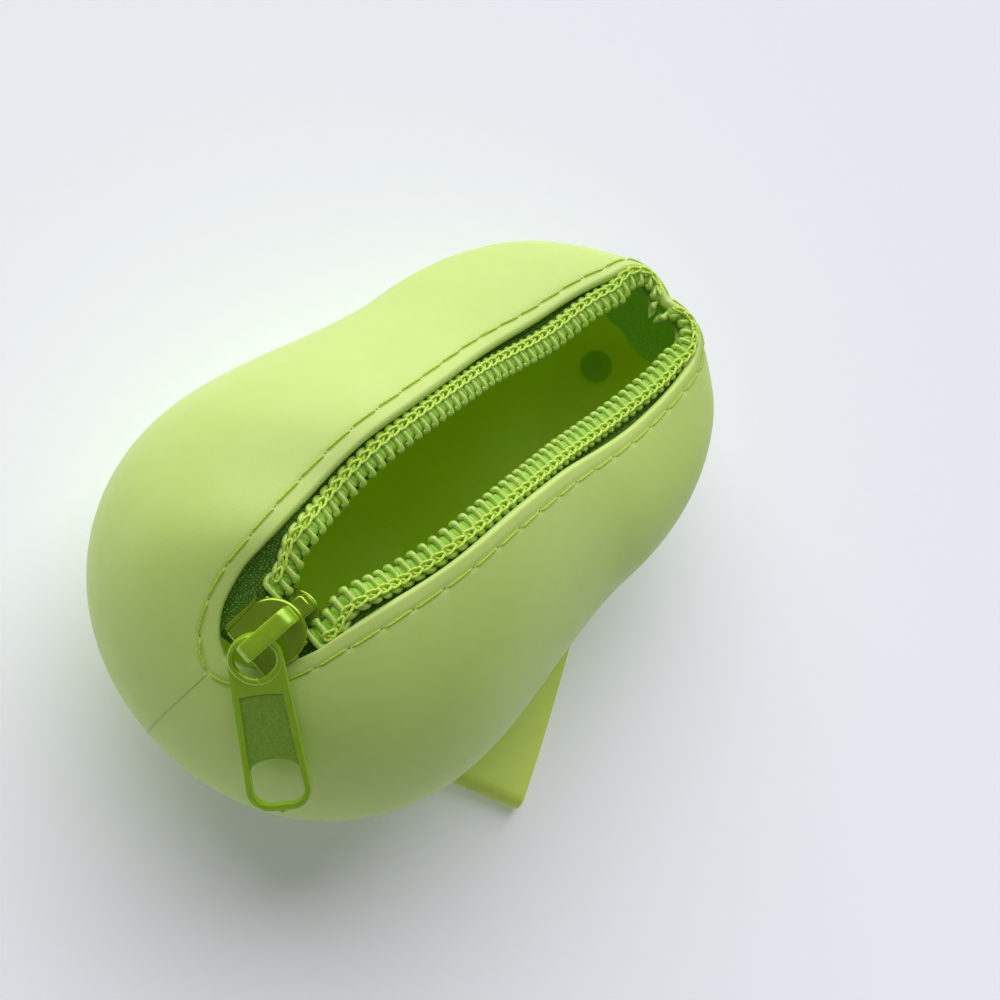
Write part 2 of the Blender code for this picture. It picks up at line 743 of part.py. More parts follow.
def puller_outline(inset, start, reach):
    """Sides that widen from the eye to a rounded end, between two stations."""
    corner = PULLER_CORNER - inset
    end_half = PULLER_END_WIDTH / 2 - inset
    eye_half = PULLER_EYE_RADIUS - inset
    slope = (end_half - eye_half) / reach
    outline = [(start, -(eye_half + slope * start))]
    for step in range(CORNER_STEPS + 1):
        angle = math.pi / 2 * (step / CORNER_STEPS - 1)
        back, side = corner * (1 - math.cos(angle)), corner * (1 + math.sin(angle))
        outline.append((reach - inset - back, side - end_half))
    outline += [(x, -y) for x, y in reversed(outline)]
    return outline


def circle(radius):
    turns = [2 * math.pi * k / ROUND_SIDES for k in range(ROUND_SIDES)]
    return [(radius * math.cos(t), radius * math.sin(t)) for t in turns]


def puller(finish):
    """Eye ring, tapered tab with a sunk panel, and a window at its end."""
    place = puller_place()
    reach = puller_reach()
    half = PULLER_THICKNESS / 2
    tab = puller_outline(0.0, 0.0, reach)
    outline = tab + [(x, y) for x, y in circle(PULLER_EYE_RADIUS) if x < -PULLER_EDGE]
    body = prism("puller", outline, -half, half, finish, PULLER_EDGE, place)
    cut = PULLER_THICKNESS
    parts = [prism("eye_hole", circle(PULLER_EYE_HOLE), -cut, cut, finish, 0.0, place)]
    window_start = reach - PULLER_RIM - WINDOW_LENGTH
    window = puller_outline(PULLER_RIM, window_start, reach)
    window_half = window[-1][1]
    for step in range(1, 2 * CORNER_STEPS):
        angle = math.pi * step / (2 * CORNER_STEPS)
        window.append((window_start - WINDOW_ARCH * math.sin(angle), window_half * math.cos(angle)))
    parts.append(prism("window", window, -cut, cut, finish, 0.0, place))
    side = PULLER_EYE_RADIUS - PULLER_RIM
    panel = block_outline(PANEL_START, window_start, -side, side)
    parts.append(prism("panel", panel, half - PANEL_DEPTH, cut, finish, 0.0, place))
    for part in parts:
        combine(body, part, "DIFFERENCE")
    return body


# Strap and stud

def under_shell(x):
    """Height of the shell's underside on its middle line, past the far spine point."""
    tail = OUTLINE.at(1.0)
    share = min(max((x - SPINE_FAR_X) / (tail.x - SPINE_FAR_X), 0.0), 1.0)
    low = sole_height(max(x, SPINE_NEAR_X)) if x < SPINE_FAR_X else TAIL_LIFT
    return tail.z - (tail.z - low) * math.sqrt(1 - share ** 2)


def strap_plan():
    """Middle line of the strap seen from above, from its fold to past the stud."""
    tip = Vector(STRAP_TIP)
    stud = Vector((STUD_X, 0.0))
    heading = Vector((math.cos(STRAP_TIP_HEADING), math.sin(STRAP_TIP_HEADING)))
    handle = tip + heading * (stud - tip).length / 2
    beyond = stud + (stud - handle).normalized() * STRAP_END_TAB
    line = []
    for step in range(STRAP_SAMPLES + 1):
        t = step / STRAP_SAMPLES
        line.append(tip * (1 - t) ** 2 + handle * 2 * t * (1 - t) + stud * t ** 2)
    line.append(beyond)
    return EvenCurve([Vector((p.x, p.y, 0.0)) for p in line])


STACK = 2 * STRAP_THICKNESS + STRAP_LAYER_GAP


def stack_top(x):
    """Height of the top of the two strap layers."""
    lift = smooth_step(STRAP_LIFT_START_X, STRAP_LIFT_END_X, x)
    return max(STACK + (under_shell(x) - STRAP_CLEARANCE - STACK) * lift, STACK)


def strap(finish):
    """A flat band, out along the floor to its fold and back to the stud."""
    plan = strap_plan()
    fold = (STACK - STRAP_THICKNESS) / 2 / plan.length
    half = STRAP_THICKNESS / 2
    shares = [fold + (1 - fold) * step / STRAP_STATIONS for step in range(STRAP_STATIONS + 1)]
    path = [(share, half) for share in reversed(shares)]
    for step in range(1, FOLD_STEPS):
        angle = math.pi * step / FOLD_STEPS
        spread = (STACK - STRAP_THICKNESS) * (1 - math.cos(angle)) / 2
        path.append((fold * (1 - math.sin(angle)), half + spread))
    path += [(share, STACK - half) for share in shares]
    rings = []
    for i, (share, depth) in enumerate(path):
        middle = plan.at(share)
        flat_run = (plan.at(share + STRAP_RUN_STEP) - plan.at(share - STRAP_RUN_STEP)).normalized()
        across = Vector((-flat_run.y, flat_run.x, 0.0)) * STRAP_WIDTH / 2
        before, after = path[max(i - 1, 0)], path[min(i + 1, len(path) - 1)]
        ahead = Vector(((after[0] - before[0]) * plan.length, before[1] - after[1])).normalized()
        up = flat_run * -ahead.y * half + Vector((0, 0, ahead.x * half))
        line = []
        for part in (-1.0, -0.5, 0.0, 0.5, 1.0):
            spot = middle + across * part
            line.append(spot + Vector((0, 0, stack_top(spot.x) - depth)))
        rings.append([spot - up for spot in line] + [spot + up for spot in reversed(line)])
    return sweep("wrist_strap", rings, finish)


def stud_place():
    """Frame of the stud: Z along it, out through the shell and down."""
    here = Vector((STUD_X, 0.0, under_shell(STUD_X)))
    run = Vector((STUD_X + GAP, 0.0, under_shell(STUD_X + GAP))) - here
    out = Vector((run.z, 0.0, -run.x)).normalized()
    across = Vector((0.0, 1.0, 0.0))
    turn = Matrix((across.cross(out), across, out)).transposed().to_4x4()
    return Matrix.Translation(here) @ turn


def stud(finish, place):
    """Stem through the shell and both strap ends, with a head on each side."""
    inner, outer = -WALL - 2 * GAP, STRAP_CLEARANCE + STACK + GAP
    top, bottom = inner - STUD_HEAD_THICKNESS, outer + STUD_HEAD_THICKNESS
    round_radius = STUD_HEAD_RADIUS - STUD_HEAD_EDGE
    profile = [
        (top, round_radius), (top + STUD_HEAD_EDGE, STUD_HEAD_RADIUS),
        (inner, STUD_HEAD_RADIUS), (inner, STUD_STEM_RADIUS),
        (outer, STUD_STEM_RADIUS), (outer, STUD_HEAD_RADIUS),
        (bottom - STUD_HEAD_EDGE, STUD_HEAD_RADIUS), (bottom, round_radius),
    ]
    rings = [[place @ Vector((x, y, z)) for x, y in circle(r)] for z, r in profile]
    return sweep("strap_stud", rings, finish)


def circle_through(a, b, c):
    """Centre of the circle in the XZ plane through three points."""
    ab, ac = b - a, c - a
    cross = 2 * (ab.x * ac.z - ab.z * ac.x)
    x = (ac.z * ab.length_squared - ab.z * ac.length_squared) / cross
    z = (ab.x * ac.length_squared - ac.x * ab.length_squared) / cross
    return a + Vector((x, 0.0, z))


def parent_to(child, parent):
    child.parent = parent
    child.matrix_parent_inverse = parent.matrix_world.inverted()


def axis_empty(name, place):
    made = bpy.data.objects.new(name, None)
    made.matrix_world = place
    bpy.context.scene.collection.objects.link(made)
    bpy.context.view_layer.update()
    return made


def main():
    clear_scene()
    silicone = material("silicone", (0.62, 0.80, 0.30), 0.5)
    strap_silicone = material("strap_silicone", (0.36, 0.48, 0.07), 0.45)
    weave = material("zip_tape", (0.10, 0.25, 0.03), 0.85)
    nylon = material("zip_coil", (0.42, 0.68, 0.22), 0.3)
    thread = material("thread", (0.40, 0.58, 0.06), 0.6)
    paint = material("painted_metal", (0.20, 0.36, 0.01), 0.3)

    body = shell(silicone)
    for side, word in ((1, "left"), (-1, "right")):
        tape(side, "zip_tape_" + word, weave)
        coil(side, "zip_coil_" + word, nylon)
        coil_stitching(side, "coil_stitching_" + word, thread)
        seam_thread(side, "seam_thread_" + word, thread)

    loop = strap(strap_silicone)
    place = stud_place()
    stud(strap_silicone, place)
    reach = STACK + WALL
    hole = prism("stud_hole", circle(STUD_STEM_RADIUS + GAP), -2 * reach, 2 * reach, silicone, 0.0, place)
    combine(body, hole, "DIFFERENCE")
    combine(loop, hole, "DIFFERENCE")

    track_end = COIL_GAPS[-1][0] - LOWER_PLATE_FRONT
    track = [Vector((x, 0.0, rim_height(x))) for x in (SLIDER_X, TRACK_MIDDLE_X, track_end)]
    travel = axis_empty("slider_travel_axis", Matrix.Translation(circle_through(*track)))
    parent_to(slider_body(paint), travel)
    parent_to(bail(paint), travel)
    ring_middle = (PULLER_EYE_HOLE + PULLER_EYE_RADIUS) / 2
    ring_bar = Matrix.Translation(puller_place() @ Vector((-ring_middle, 0.0, 0.0)))
    turn = Matrix.Rotation(-SLIDER_TILT, 4, "Y") @ Matrix.Rotation(SWING_SKEW, 4, "Z")
    swing = axis_empty("puller_swing_axis", ring_bar @ turn)
    parent_to(swing, travel)
    parent_to(puller(paint), swing)
    bpy.context.view_layer.update()
    print("slider travel axis", [round(v, 6) for v in travel.matrix_world.translation])
    print("puller swing axis at", [round(v, 6) for v in swing.matrix_world.translation])
    print("puller swing axis along", [round(v, 6) for v in swing.matrix_world.col[1][:3]])


main()
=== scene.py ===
"""Looks of the silicone makeup bag: fine meshes, finishes, light and camera around the fixed CAD part."""
import bisect
from math import acos, copysign, cos, exp, pi, radians, sin, sqrt, tan, tau

import bpy
from mathutils import Matrix, Vector


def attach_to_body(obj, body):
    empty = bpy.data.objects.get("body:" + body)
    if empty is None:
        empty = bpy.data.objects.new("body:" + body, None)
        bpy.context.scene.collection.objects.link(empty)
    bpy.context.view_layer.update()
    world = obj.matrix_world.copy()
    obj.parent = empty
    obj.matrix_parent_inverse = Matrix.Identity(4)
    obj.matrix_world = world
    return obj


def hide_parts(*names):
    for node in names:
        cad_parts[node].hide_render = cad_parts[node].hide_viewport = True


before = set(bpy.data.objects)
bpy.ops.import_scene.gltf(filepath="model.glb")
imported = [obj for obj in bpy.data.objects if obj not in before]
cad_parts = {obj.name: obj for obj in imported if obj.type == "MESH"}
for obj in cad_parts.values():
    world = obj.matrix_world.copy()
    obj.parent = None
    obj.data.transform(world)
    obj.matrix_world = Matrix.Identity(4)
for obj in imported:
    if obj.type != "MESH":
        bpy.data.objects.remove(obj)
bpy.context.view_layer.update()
scene = bpy.context.scene

# Lengths are in metres. Outline, mouth and rim of the shell, as in the CAD part
NOSE_REACH = 0.0322
NEAR_CENTRE_X = -0.0220
NEAR_HALF_WIDTH = 0.0333
FAR_CENTRE_X = 0.0150
FAR_REACH = 0.0383
FAR_HALF_WIDTH = 0.0282
OUTLINE_POWER = 2.08
WAIST_HEIGHT_NEAR = 0.0258
WAIST_HEIGHT_FAR = 0.0236
WALL = 0.0016
SPINE_NEAR_X = -0.0220
SPINE_FAR_X = 0.0250
SPINE_SHARES = (0.16, 0.84)
SOLE_DEPTH = 0.0015
TAIL_LIFT = 0.0046
TAIL_LIFT_START_X = -0.0060
TAIL_LIFT_END_X = 0.0240
SOLE_EDGE_ANGLE = radians(80)
MOUTH_LINE = (
    (-0.0446, 0.0000), (-0.0436, 0.0026), (-0.0412, 0.0051), (-0.0370, 0.0070),
    (-0.0330, 0.0077), (-0.0250, 0.0089), (-0.0130, 0.0102), (-0.0010, 0.0102),
    (0.0090, 0.0103), (0.0190, 0.0106), (0.0290, 0.0105), (0.0370, 0.0101), (0.0440, 0.0092),
    (0.0480, 0.0083), (0.0503, 0.0068), (0.0514, 0.0048), (0.0511, 0.0028), (0.0502, 0.0012),
    (0.0495, 0.0000),
)
RIM_HEIGHTS = (
    (-0.0480, 0.0389), (-0.0390, 0.0458), (-0.0310, 0.0500), (-0.0210, 0.0504),
    (-0.0110, 0.0508), (-0.0010, 0.0483), (0.0090, 0.0439), (0.0190, 0.0390),
    (0.0290, 0.0351), (0.0390, 0.0325), (0.0470, 0.0306), (0.0530, 0.0295),
)
MOUTH_LEAN = -0.0010
LEAN_START_X = 0.0100
LEAN_FULL_X = 0.0300
LEAN_FADE_X = 0.0440
LEAN_END_X = 0.0520
END_CROWDING = 0.45
SHARE_STEP = 0.004
RISE_STEP = 0.01
CURVE_STEPS = 24

# Zip chain as in the CAD part, with the picture's own filament, loops, raised far end and turn
COIL_GAPS = (
    (-0.0354, 0.0018), (-0.0330, 0.0024), (-0.0290, 0.0033), (-0.0250, 0.0043),
    (-0.0210, 0.0050), (-0.0170, 0.0056), (-0.0110, 0.0060), (-0.0030, 0.0060),
    (0.0050, 0.0060), (0.0150, 0.0059), (0.0270, 0.0056), (0.0380, 0.0056), (0.0440, 0.0049),
)
COIL_WIDTH = 0.0033
COIL_HEIGHT = 0.0018
COIL_PITCH = 0.00185
FILAMENT_RADIUS = 0.00045
LOOP_WIDTH = 0.0043
HEAD_SHIFT = 0.0004
FAR_RAISE = 0.0012
FAR_RAISE_START = 0.0240
TURN_COIL_TOP = 0.00015
TAPE_THICKNESS = 0.0005
TAPE_DROP = 0.0032
TAPE_FAR_SINK = 0.0008
TAPE_TUCK = 0.0034
TAPE_LEVEL_SHARE = 0.8
TAPE_START_WIDTH = 0.0052
TAPE_START = 0.0007
TAPE_PART_START = 0.0008
TAPE_PART_END = 0.0022
CHAIN_CENTRE_GAP = 0.0002
CHAIN_SWAY = 0.0010
CHAIN_RETURN = 0.0095
CHAIN_RISE_END = 0.0170
TURN_X = 0.0430
TURN_LINE = (
    (0.0460, 0.0054), (0.0479, 0.0047), (0.0488, 0.0036), (0.0485, 0.0023), (0.0472, 0.0012),
    (0.0463, 0.0004),
)
TURN_RISE = (0.0, 0.45)
TURN_NARROWING = (0.0, 0.4)
SEAM_MARGINS = (
    (-0.0440, 0.0032), (-0.0200, 0.0027), (0.0080, 0.0024), (0.0300, 0.0019), (0.0500, 0.0019),
)
STITCH_LENGTH = 0.0051

# Slider, bail and puller, with the picture's wider bail, longer window and shorter, bowed panel
SLIDER_X = -0.0387
SLIDER_SHIFT = -0.0017
SLIDER_LIFT = 0.0012
SLIDER_TILT = radians(29)
PLATE_LENGTH = 0.0104
PLATE_WIDTH = 0.0090
PLATE_REAR_WIDTH = 0.0082
PLATE_THICKNESS = 0.0010
PLATE_SETBACK = 0.0012
LOWER_PLATE_WIDTH = 0.0080
LOWER_PLATE_FRONT = 0.0058
POST_WIDTH = 0.0028
POST_LENGTH = 0.0044
POST_TAPER = 0.35
FLANGE_THICKNESS = 0.0006
FLANGE_FRONT = 0.0020
SHORT_FLANGE_REAR = 0.0002
BAIL_WIDTH = 0.0026
BAIL_THICKNESS = 0.0009
BAIL_INSIDE_HEIGHT = 0.0043
BAIL_FRONT = 0.0036
BAIL_REAR = -0.0049
BAIL_HOOK_GAP = 0.0006
BAIL_BEND = 0.0010
PULLER_EYE = (-0.0434, -0.0031, 0.0472)
PULLER_TIP = (-0.0505, -0.0200, 0.0365)
PULLER_FACING = (-0.625, -0.216, 0.750)
PULLER_THICKNESS = 0.0012
PULLER_EYE_HOLE = 0.0029
PULLER_EYE_RADIUS = 0.0037
PULLER_END_WIDTH = 0.0087
PULLER_CORNER = 0.0030
PULLER_RIM = 0.0008
WINDOW_LENGTH = 0.0048
WINDOW_ARCH = 0.0018
PANEL_DEPTH = 0.0002
PANEL_START = 0.0046
PANEL_BOW = 0.00025

# Strap and stud, with the picture's rounder stud head
STRAP_WIDTH = 0.0140
STRAP_THICKNESS = 0.0017
STRAP_LAYER_GAP = 0.0004
STRAP_CLEARANCE = 0.0008
STRAP_TIP = (-0.0155, -0.0376)
STRAP_TIP_HEADING = radians(27.6)
STRAP_END_TAB = 0.0046
STRAP_LIFT_START_X = 0.0160
STRAP_LIFT_END_X = 0.0300
STUD_X = 0.0440
STUD_HEAD_RADIUS = 0.0026
STUD_HEAD_THICKNESS = 0.0010
STUD_HEAD_EDGE = 0.0010
STUD_STEM_RADIUS = 0.0012
GAP = 0.0003
COIL_REST = 1.5 * GAP
TAPE_DEPTH = PLATE_THICKNESS + GAP + COIL_HEIGHT + COIL_REST
STACK = 2 * STRAP_THICKNESS + STRAP_LAYER_GAP


def smooth_step(start, end, value):
    t = min(max((value - start) / (end - start), 0.0), 1.0)
    return t * t * (3 - 2 * t)


def curve_through(points, steps):
    points = [Vector(p) for p in points]
    ends = [2 * points[0] - points[1], *points, 2 * points[-1] - points[-2]]
    curve = []
    for a, b, c, d in zip(ends, ends[1:], ends[2:], ends[3:]):
        for step in range(steps):
            t = step / steps
            curve.append(0.5 * (2 * b + (c - a) * t + (2 * a - 5 * b + 4 * c - d) * t ** 2
                                + (3 * b - a - 3 * c + d) * t ** 3))
    curve.append(points[-1])
    return curve


def height_along(points, x):
    if x <= points[0][0]:
        return points[0][1]
    if x >= points[-1][0]:
        return points[-1][1]
    i = bisect.bisect_right([p[0] for p in points], x) - 1
    before, after = max(i - 1, 0), min(i + 2, len(points) - 1)
    span = points[i + 1][0] - points[i][0]
    t = (x - points[i][0]) / span
    slope_in = (points[i + 1][1] - points[before][1]) / (points[i + 1][0] - points[before][0])
    slope_out = (points[after][1] - points[i][1]) / (points[after][0] - points[i][0])
    return ((2 * t ** 3 - 3 * t ** 2 + 1) * points[i][1] + (t ** 3 - 2 * t ** 2 + t) * span * slope_in
            + (3 * t ** 2 - 2 * t ** 3) * points[i + 1][1] + (t ** 3 - t ** 2) * span * slope_out)


def rim_height(x):
    return height_along(RIM_HEIGHTS, x)


class EvenCurve:
    """A curve read by its share of length."""

    def __init__(self, points):
        self.points = points
        self.reach = [0.0]
        for a, b in zip(points, points[1:]):
            self.reach.append(self.reach[-1] + (b - a).length)
        self.length = self.reach[-1]

    def find(self, share):
        """The last point before a share of the length, and the part of the step beyond it."""
        wanted = min(max(share, 0.0), 1.0) * self.length
        i = min(max(bisect.bisect_right(self.reach, wanted) - 1, 0), len(self.points) - 2)
        return i, (wanted - self.reach[i]) / (self.reach[i + 1] - self.reach[i])

    def at(self, share):
        i, part = self.find(share)
        return self.points[i].lerp(self.points[i + 1], part)


def outline_half():
    quarter, middle = 96, 48
    turns = [pi / 2 * step / quarter for step in range(quarter + 1)]
    bends = [(cos(turn) ** (2 / OUTLINE_POWER), sin(turn) ** (2 / OUTLINE_POWER)) for turn in turns]
    line = [(NEAR_CENTRE_X - NOSE_REACH * x, NEAR_HALF_WIDTH * y) for x, y in bends]
    for step in range(1, middle):
        x = NEAR_CENTRE_X + (FAR_CENTRE_X - NEAR_CENTRE_X) * step / middle
        ease = smooth_step(NEAR_CENTRE_X, FAR_CENTRE_X, x)
        line.append((x, NEAR_HALF_WIDTH + (FAR_HALF_WIDTH - NEAR_HALF_WIDTH) * ease))
    line += [(FAR_CENTRE_X + FAR_REACH * x, FAR_HALF_WIDTH * y) for x, y in bends[::-1]]
    nose, tail = line[0][0], line[-1][0]
    drop = WAIST_HEIGHT_FAR - WAIST_HEIGHT_NEAR
    return [Vector((x, y, WAIST_HEIGHT_NEAR + drop * (x - nose) / (tail - nose))) for x, y in line]


OUTLINE = EvenCurve(outline_half())
LIP_PLAN = curve_through([(*p, 0.0) for p in MOUTH_LINE], CURVE_STEPS)
LIP = EvenCurve([Vector((p.x, p.y, rim_height(p.x))) for p in LIP_PLAN])


def spine_point(share):
    x = SPINE_NEAR_X + (SPINE_FAR_X - SPINE_NEAR_X) * smooth_step(*SPINE_SHARES, share)
    return Vector((x, 0.0, 0.0))


def sole_height(x):
    return -SOLE_DEPTH + (SOLE_DEPTH + TAIL_LIFT) * smooth_step(TAIL_LIFT_START_X, TAIL_LIFT_END_X, x)


def level(point):
    return Vector((point.x, point.y, 0.0))


def upper_point(share, rise):
    edge, lip, spine = OUTLINE.at(share), LIP.at(share), spine_point(share)
    ratio = (level(lip) - spine).length / (level(edge) - spine).length
    top = acos(min(max(ratio, 0.05), 0.95))
    angle = top * rise
    place = edge.lerp(lip, (1 - cos(angle)) / (1 - cos(top)))
    place.z = edge.z + (lip.z - edge.z) * sin(angle) / sin(top)
    return place


def lower_point(share, angle):
    edge, spine = OUTLINE.at(share), spine_point(share)
    place = spine + (level(edge) - spine) * cos(angle)
    place.z = max(edge.z - (edge.z - sole_height(spine.x)) * sin(angle), 0.0)
    return place


def surface_from_lip(share, distance):
    far = 1.0
    step = RISE_STEP / 2
    place = upper_point(share, far)
    walked = 0.0
    while walked < distance and far > 0.0:
        following = upper_point(share, far - step)
        run = (following - place).length
        part = min((distance - walked) / max(run, 1e-9), 1.0)
        far -= step * part
        walked += run
        place = place.lerp(following, part)
    down = (upper_point(share, far - 2 * RISE_STEP) - place).normalized()
    along = (upper_point(share + SHARE_STEP, far) - upper_point(share - SHARE_STEP, far)).normalized()
    normal = down.cross(along).normalized()
    return place, normal if normal.z > 0 else -normal


def mirrored(points):
    return [Vector((p.x, -p.y, p.z)) for p in points]


def apart(points, least):
    """Points kept on their own side of the middle."""
    return [Vector((p.x, max(p.y, least), p.z)) for p in points]


def leaning(points):
    moved = []
    for p in points:
        along = smooth_step(LEAN_START_X, LEAN_FULL_X, p.x) * (1 - smooth_step(LEAN_FADE_X, LEAN_END_X, p.x))
        upward = smooth_step(WAIST_HEIGHT_FAR, rim_height(p.x) - TAPE_DROP, p.z)
        moved.append(Vector((p.x, p.y + MOUTH_LEAN * along * upward, p.z)))
    return moved


# Chain, as in the CAD part

def chain_centre(x):
    into = smooth_step(LIP.at(0.0).x + CHAIN_SWAY, SLIDER_X - PLATE_LENGTH / 4, x)
    return SLIDER_SHIFT * into * (1 - smooth_step(SLIDER_X + PLATE_LENGTH / 2, SLIDER_X + CHAIN_RETURN, x))


def slider_origin():
    return Vector((SLIDER_X, SLIDER_SHIFT, rim_height(SLIDER_X) + SLIDER_LIFT))


def slider_level(x, depth):
    origin = slider_origin()
    return origin.z + (x - origin.x) * tan(SLIDER_TILT) - depth / cos(SLIDER_TILT)


def tape_height(x):
    blend = smooth_step(SLIDER_X + LOWER_PLATE_FRONT + CHAIN_SWAY, SLIDER_X + CHAIN_RISE_END, x)
    drop = TAPE_DROP + TAPE_FAR_SINK * smooth_step(LEAN_FULL_X, TURN_X, x)
    return slider_level(x, TAPE_DEPTH) * (1 - blend) + (rim_height(x) - drop) * blend


def coil_gap(x):
    return height_along(COIL_GAPS, x)


def tape_gap(x):
    open_gap = max(coil_gap(x), POST_WIDTH / 2 + GAP) + GAP
    part = smooth_step(SLIDER_X + TAPE_PART_START, SLIDER_X + TAPE_PART_END, x)
    return CHAIN_CENTRE_GAP + (open_gap - CHAIN_CENTRE_GAP) * part


# Materials

KNIT_COLUMN = 0.00052
KNIT_LOOP = 0.00046
TWISTS = 1500.0


def srgb(rgb):
    """Linear colour of an 8-bit screen colour."""
    return tuple((v / 255 / 12.92) if v <= 10 else ((v / 255 + 0.055) / 1.055) ** 2.4 for v in rgb)


def own_glow(colour, strength):
    """A faint glow of its own. On the inside silicone, the stud and the tape ends it is painted light, a glow
    standing in for light that comes through the thin wall; on the floor it is light back from the bright
    floor, keeping the floor evenly bright.
    """
    return {"Emission_Color": (*colour, 1.0), "Emission_Strength": strength}


class Look:
    """A Principled material with short calls for its texture nodes."""

    def __init__(self, name, colour, roughness, **values):
        self.made = bpy.data.materials.new(name)
        self.made.use_nodes = True
        self.tree = self.made.node_tree
        self.shader = self.tree.nodes["Principled BSDF"]
        self.coords = self.tree.nodes.new("ShaderNodeTexCoord").outputs["Object"]
        self.set(self.shader, Base_Color=(*srgb(colour), 1.0), Roughness=roughness, **values)

    def feed(self, place, value):
        """Gives an input a value, or links it to another node's output."""
        if isinstance(value, bpy.types.NodeSocket):
            self.tree.links.new(value, place)
        else:
            place.default_value = value

    def set(self, node, **values):
        for key, value in values.items():
            self.feed(node.inputs[key.replace("_", " ")], value)
        return node

    def node(self, kind, **values):
        return self.set(self.tree.nodes.new("ShaderNode" + kind), **values)

    def noise(self, scale, detail):
        node = self.node("TexNoise", Vector=self.coords, Scale=scale, Detail=detail, Roughness=0.55)
        return node.outputs["Fac"]

    def ramp(self, value, *stops):
        node = self.node("ValToRGB", Fac=value)
        marks = node.color_ramp.elements
        for i, (place, colour) in enumerate(stops):
            mark = marks[i] if i < 2 else marks.new(place)
            mark.position = place
            mark.color = (*colour, 1.0)
        return node.outputs["Color"]

    def math(self, kind, *values):
        node = self.node("Math")
        node.operation = kind
        for place, value in zip(node.inputs, values):
            self.feed(place, value)
        return node.outputs[0]

    def colour(self, value, *stops):
        """Colours the surface by a value from 0 to 1."""
        self.set(self.shader, Base_Color=self.ramp(value, *((place, srgb(rgb)) for place, rgb in stops)))

    def bump(self, height, distance, strength, **below):
        node = self.node("Bump", Height=height, Distance=distance, Strength=strength, **below)
        self.set(self.shader, Normal=node.outputs["Normal"])
        return node.outputs["Normal"]

    def uv(self):
        node = self.node("UVMap")
        node.uv_map = "run"
        return self.node("SeparateXYZ", Vector=node.outputs["UV"]).outputs[:2]


def silicone_look(name, light, shade, roughness, depth, **values):
    look = Look(name, light, roughness, Subsurface_Weight=depth, Subsurface_Scale=0.004,
                Subsurface_Radius=(1.0, 1.0, 0.35), IOR=1.41, **values)
    look.colour(look.noise(70.0, 3.0), (0.30, shade), (0.70, light))
    low = look.ramp(look.noise(260.0, 5.0), (0.35, (roughness - 0.05,) * 3), (0.65, (roughness + 0.07,) * 3))
    look.set(look.shader, Roughness=low)
    fine = look.bump(look.noise(2600.0, 3.0), 0.00004, 0.5)
    look.bump(look.noise(420.0, 2.0), 0.00006, 0.4, Normal=fine)
    return look.made


def tape_look(name, low, middle, high, **values):
    """Knitted tape: columns of small loops, lighter where each loop stands up and darker between the loops,
    which is painted shade, over random tone.
    """
    look = Look(name, middle, 0.8, **values)
    u, v = look.uv()
    columns = look.math("SINE", look.math("MULTIPLY", v, tau / KNIT_COLUMN))
    shifted = look.math("MULTIPLY", columns, 0.9)
    loops = look.math("SINE", look.math("ADD", look.math("MULTIPLY", u, tau / KNIT_LOOP), shifted))
    loops = look.math("MULTIPLY", look.math("ADD", loops, 1.0), look.math("ADD", columns, 1.2))
    rough = look.math("MULTIPLY", look.noise(2400.0, 4.0), 2.0)
    height = look.math("ADD", look.math("MULTIPLY", loops, 0.15), look.math("SUBTRACT", rough, 0.75))
    # Colour follows the loops' height: the low colour is painted shade between the loops, the noise random
    # tone.
    look.colour(height, (0.20, low), (0.60, middle), (0.98, high))
    look.bump(height, 0.00010, 0.8)
    return look.made


def nylon_look(name, base, shade, light):
    look = Look(name, base, 0.15, Transmission_Weight=0.3, Subsurface_Weight=0.5, Subsurface_Scale=0.0006,
                Subsurface_Radius=(0.7, 1.0, 0.3), IOR=1.5, Coat_Weight=0.6, Coat_Roughness=0.08)
    look.colour(look.noise(900.0, 2.0), (0.35, shade), (0.65, light))
    look.bump(look.noise(2600.0, 2.0), 0.00002, 0.5)
    return look.made


def thread_look(name, light, shade):
    """Spun thread with fine fibres along the twist; darker in the twist's grooves as painted shade, with
    random tone of the fibres.
    """
    look = Look(name, light, 0.55, Sheen_Weight=0.4)
    u, v = look.uv()
    twist = look.math("MULTIPLY", look.math("ADD", look.math("MULTIPLY", u, TWISTS), v), tau)
    wave = look.math("ADD", look.math("MULTIPLY", look.math("SINE", twist), 0.5), 0.5)
    # Painted shade in the twist's grooves, times random fibre tone.
    look.colour(look.math("MULTIPLY", wave, look.noise(4000.0, 2.0)), (0.05, shade), (0.45, light))
    look.bump(wave, 0.00002, 0.5)
    return look.made


def paint_look(name, light, shade, roughness, metal, mottle=700.0, grain=1500.0, depth=0.0000192):
    """Paint, with the scales of its mottling and of its grain."""
    look = Look(name, light, roughness, Metallic=metal, Coat_Weight=0.6, Coat_Roughness=0.12)
    look.colour(look.noise(mottle, 2.0), (0.3, shade), (0.7, light))
    look.bump(look.noise(grain, 2.0), depth, 1.0)
    return look.made


def plain_look(name, light, shade, roughness):
    look = Look(name, light, roughness)
    look.colour(look.noise(1500.0, 3.0), (0.3, shade), (0.7, light))
    look.bump(look.noise(3000.0, 2.0), 0.00004, 0.5)
    return look.made


# Meshes

def oval(centre, wide, high, sides):
    """Points around a centre, wide and high being the half axes."""
    angles = (tau * k / sides for k in range(sides))
    return [centre + wide * cos(a) + high * sin(a) for a in angles]


def arc(x, y, radius, first, last, steps):
    """Points of an arc about x, y, between two angles in degrees."""
    angles = (radians(first + (last - first) * k / steps) for k in range(steps + 1))
    return [(x + radius * cos(a), y + radius * sin(a)) for a in angles]


def neighbours(items, i):
    """The items before and after one, or the item itself at an end."""
    return items[max(i - 1, 0)], items[min(i + 1, len(items) - 1)]


def direction(points, i):
    before, after = neighbours(points, i)
    return (after - before).normalized()


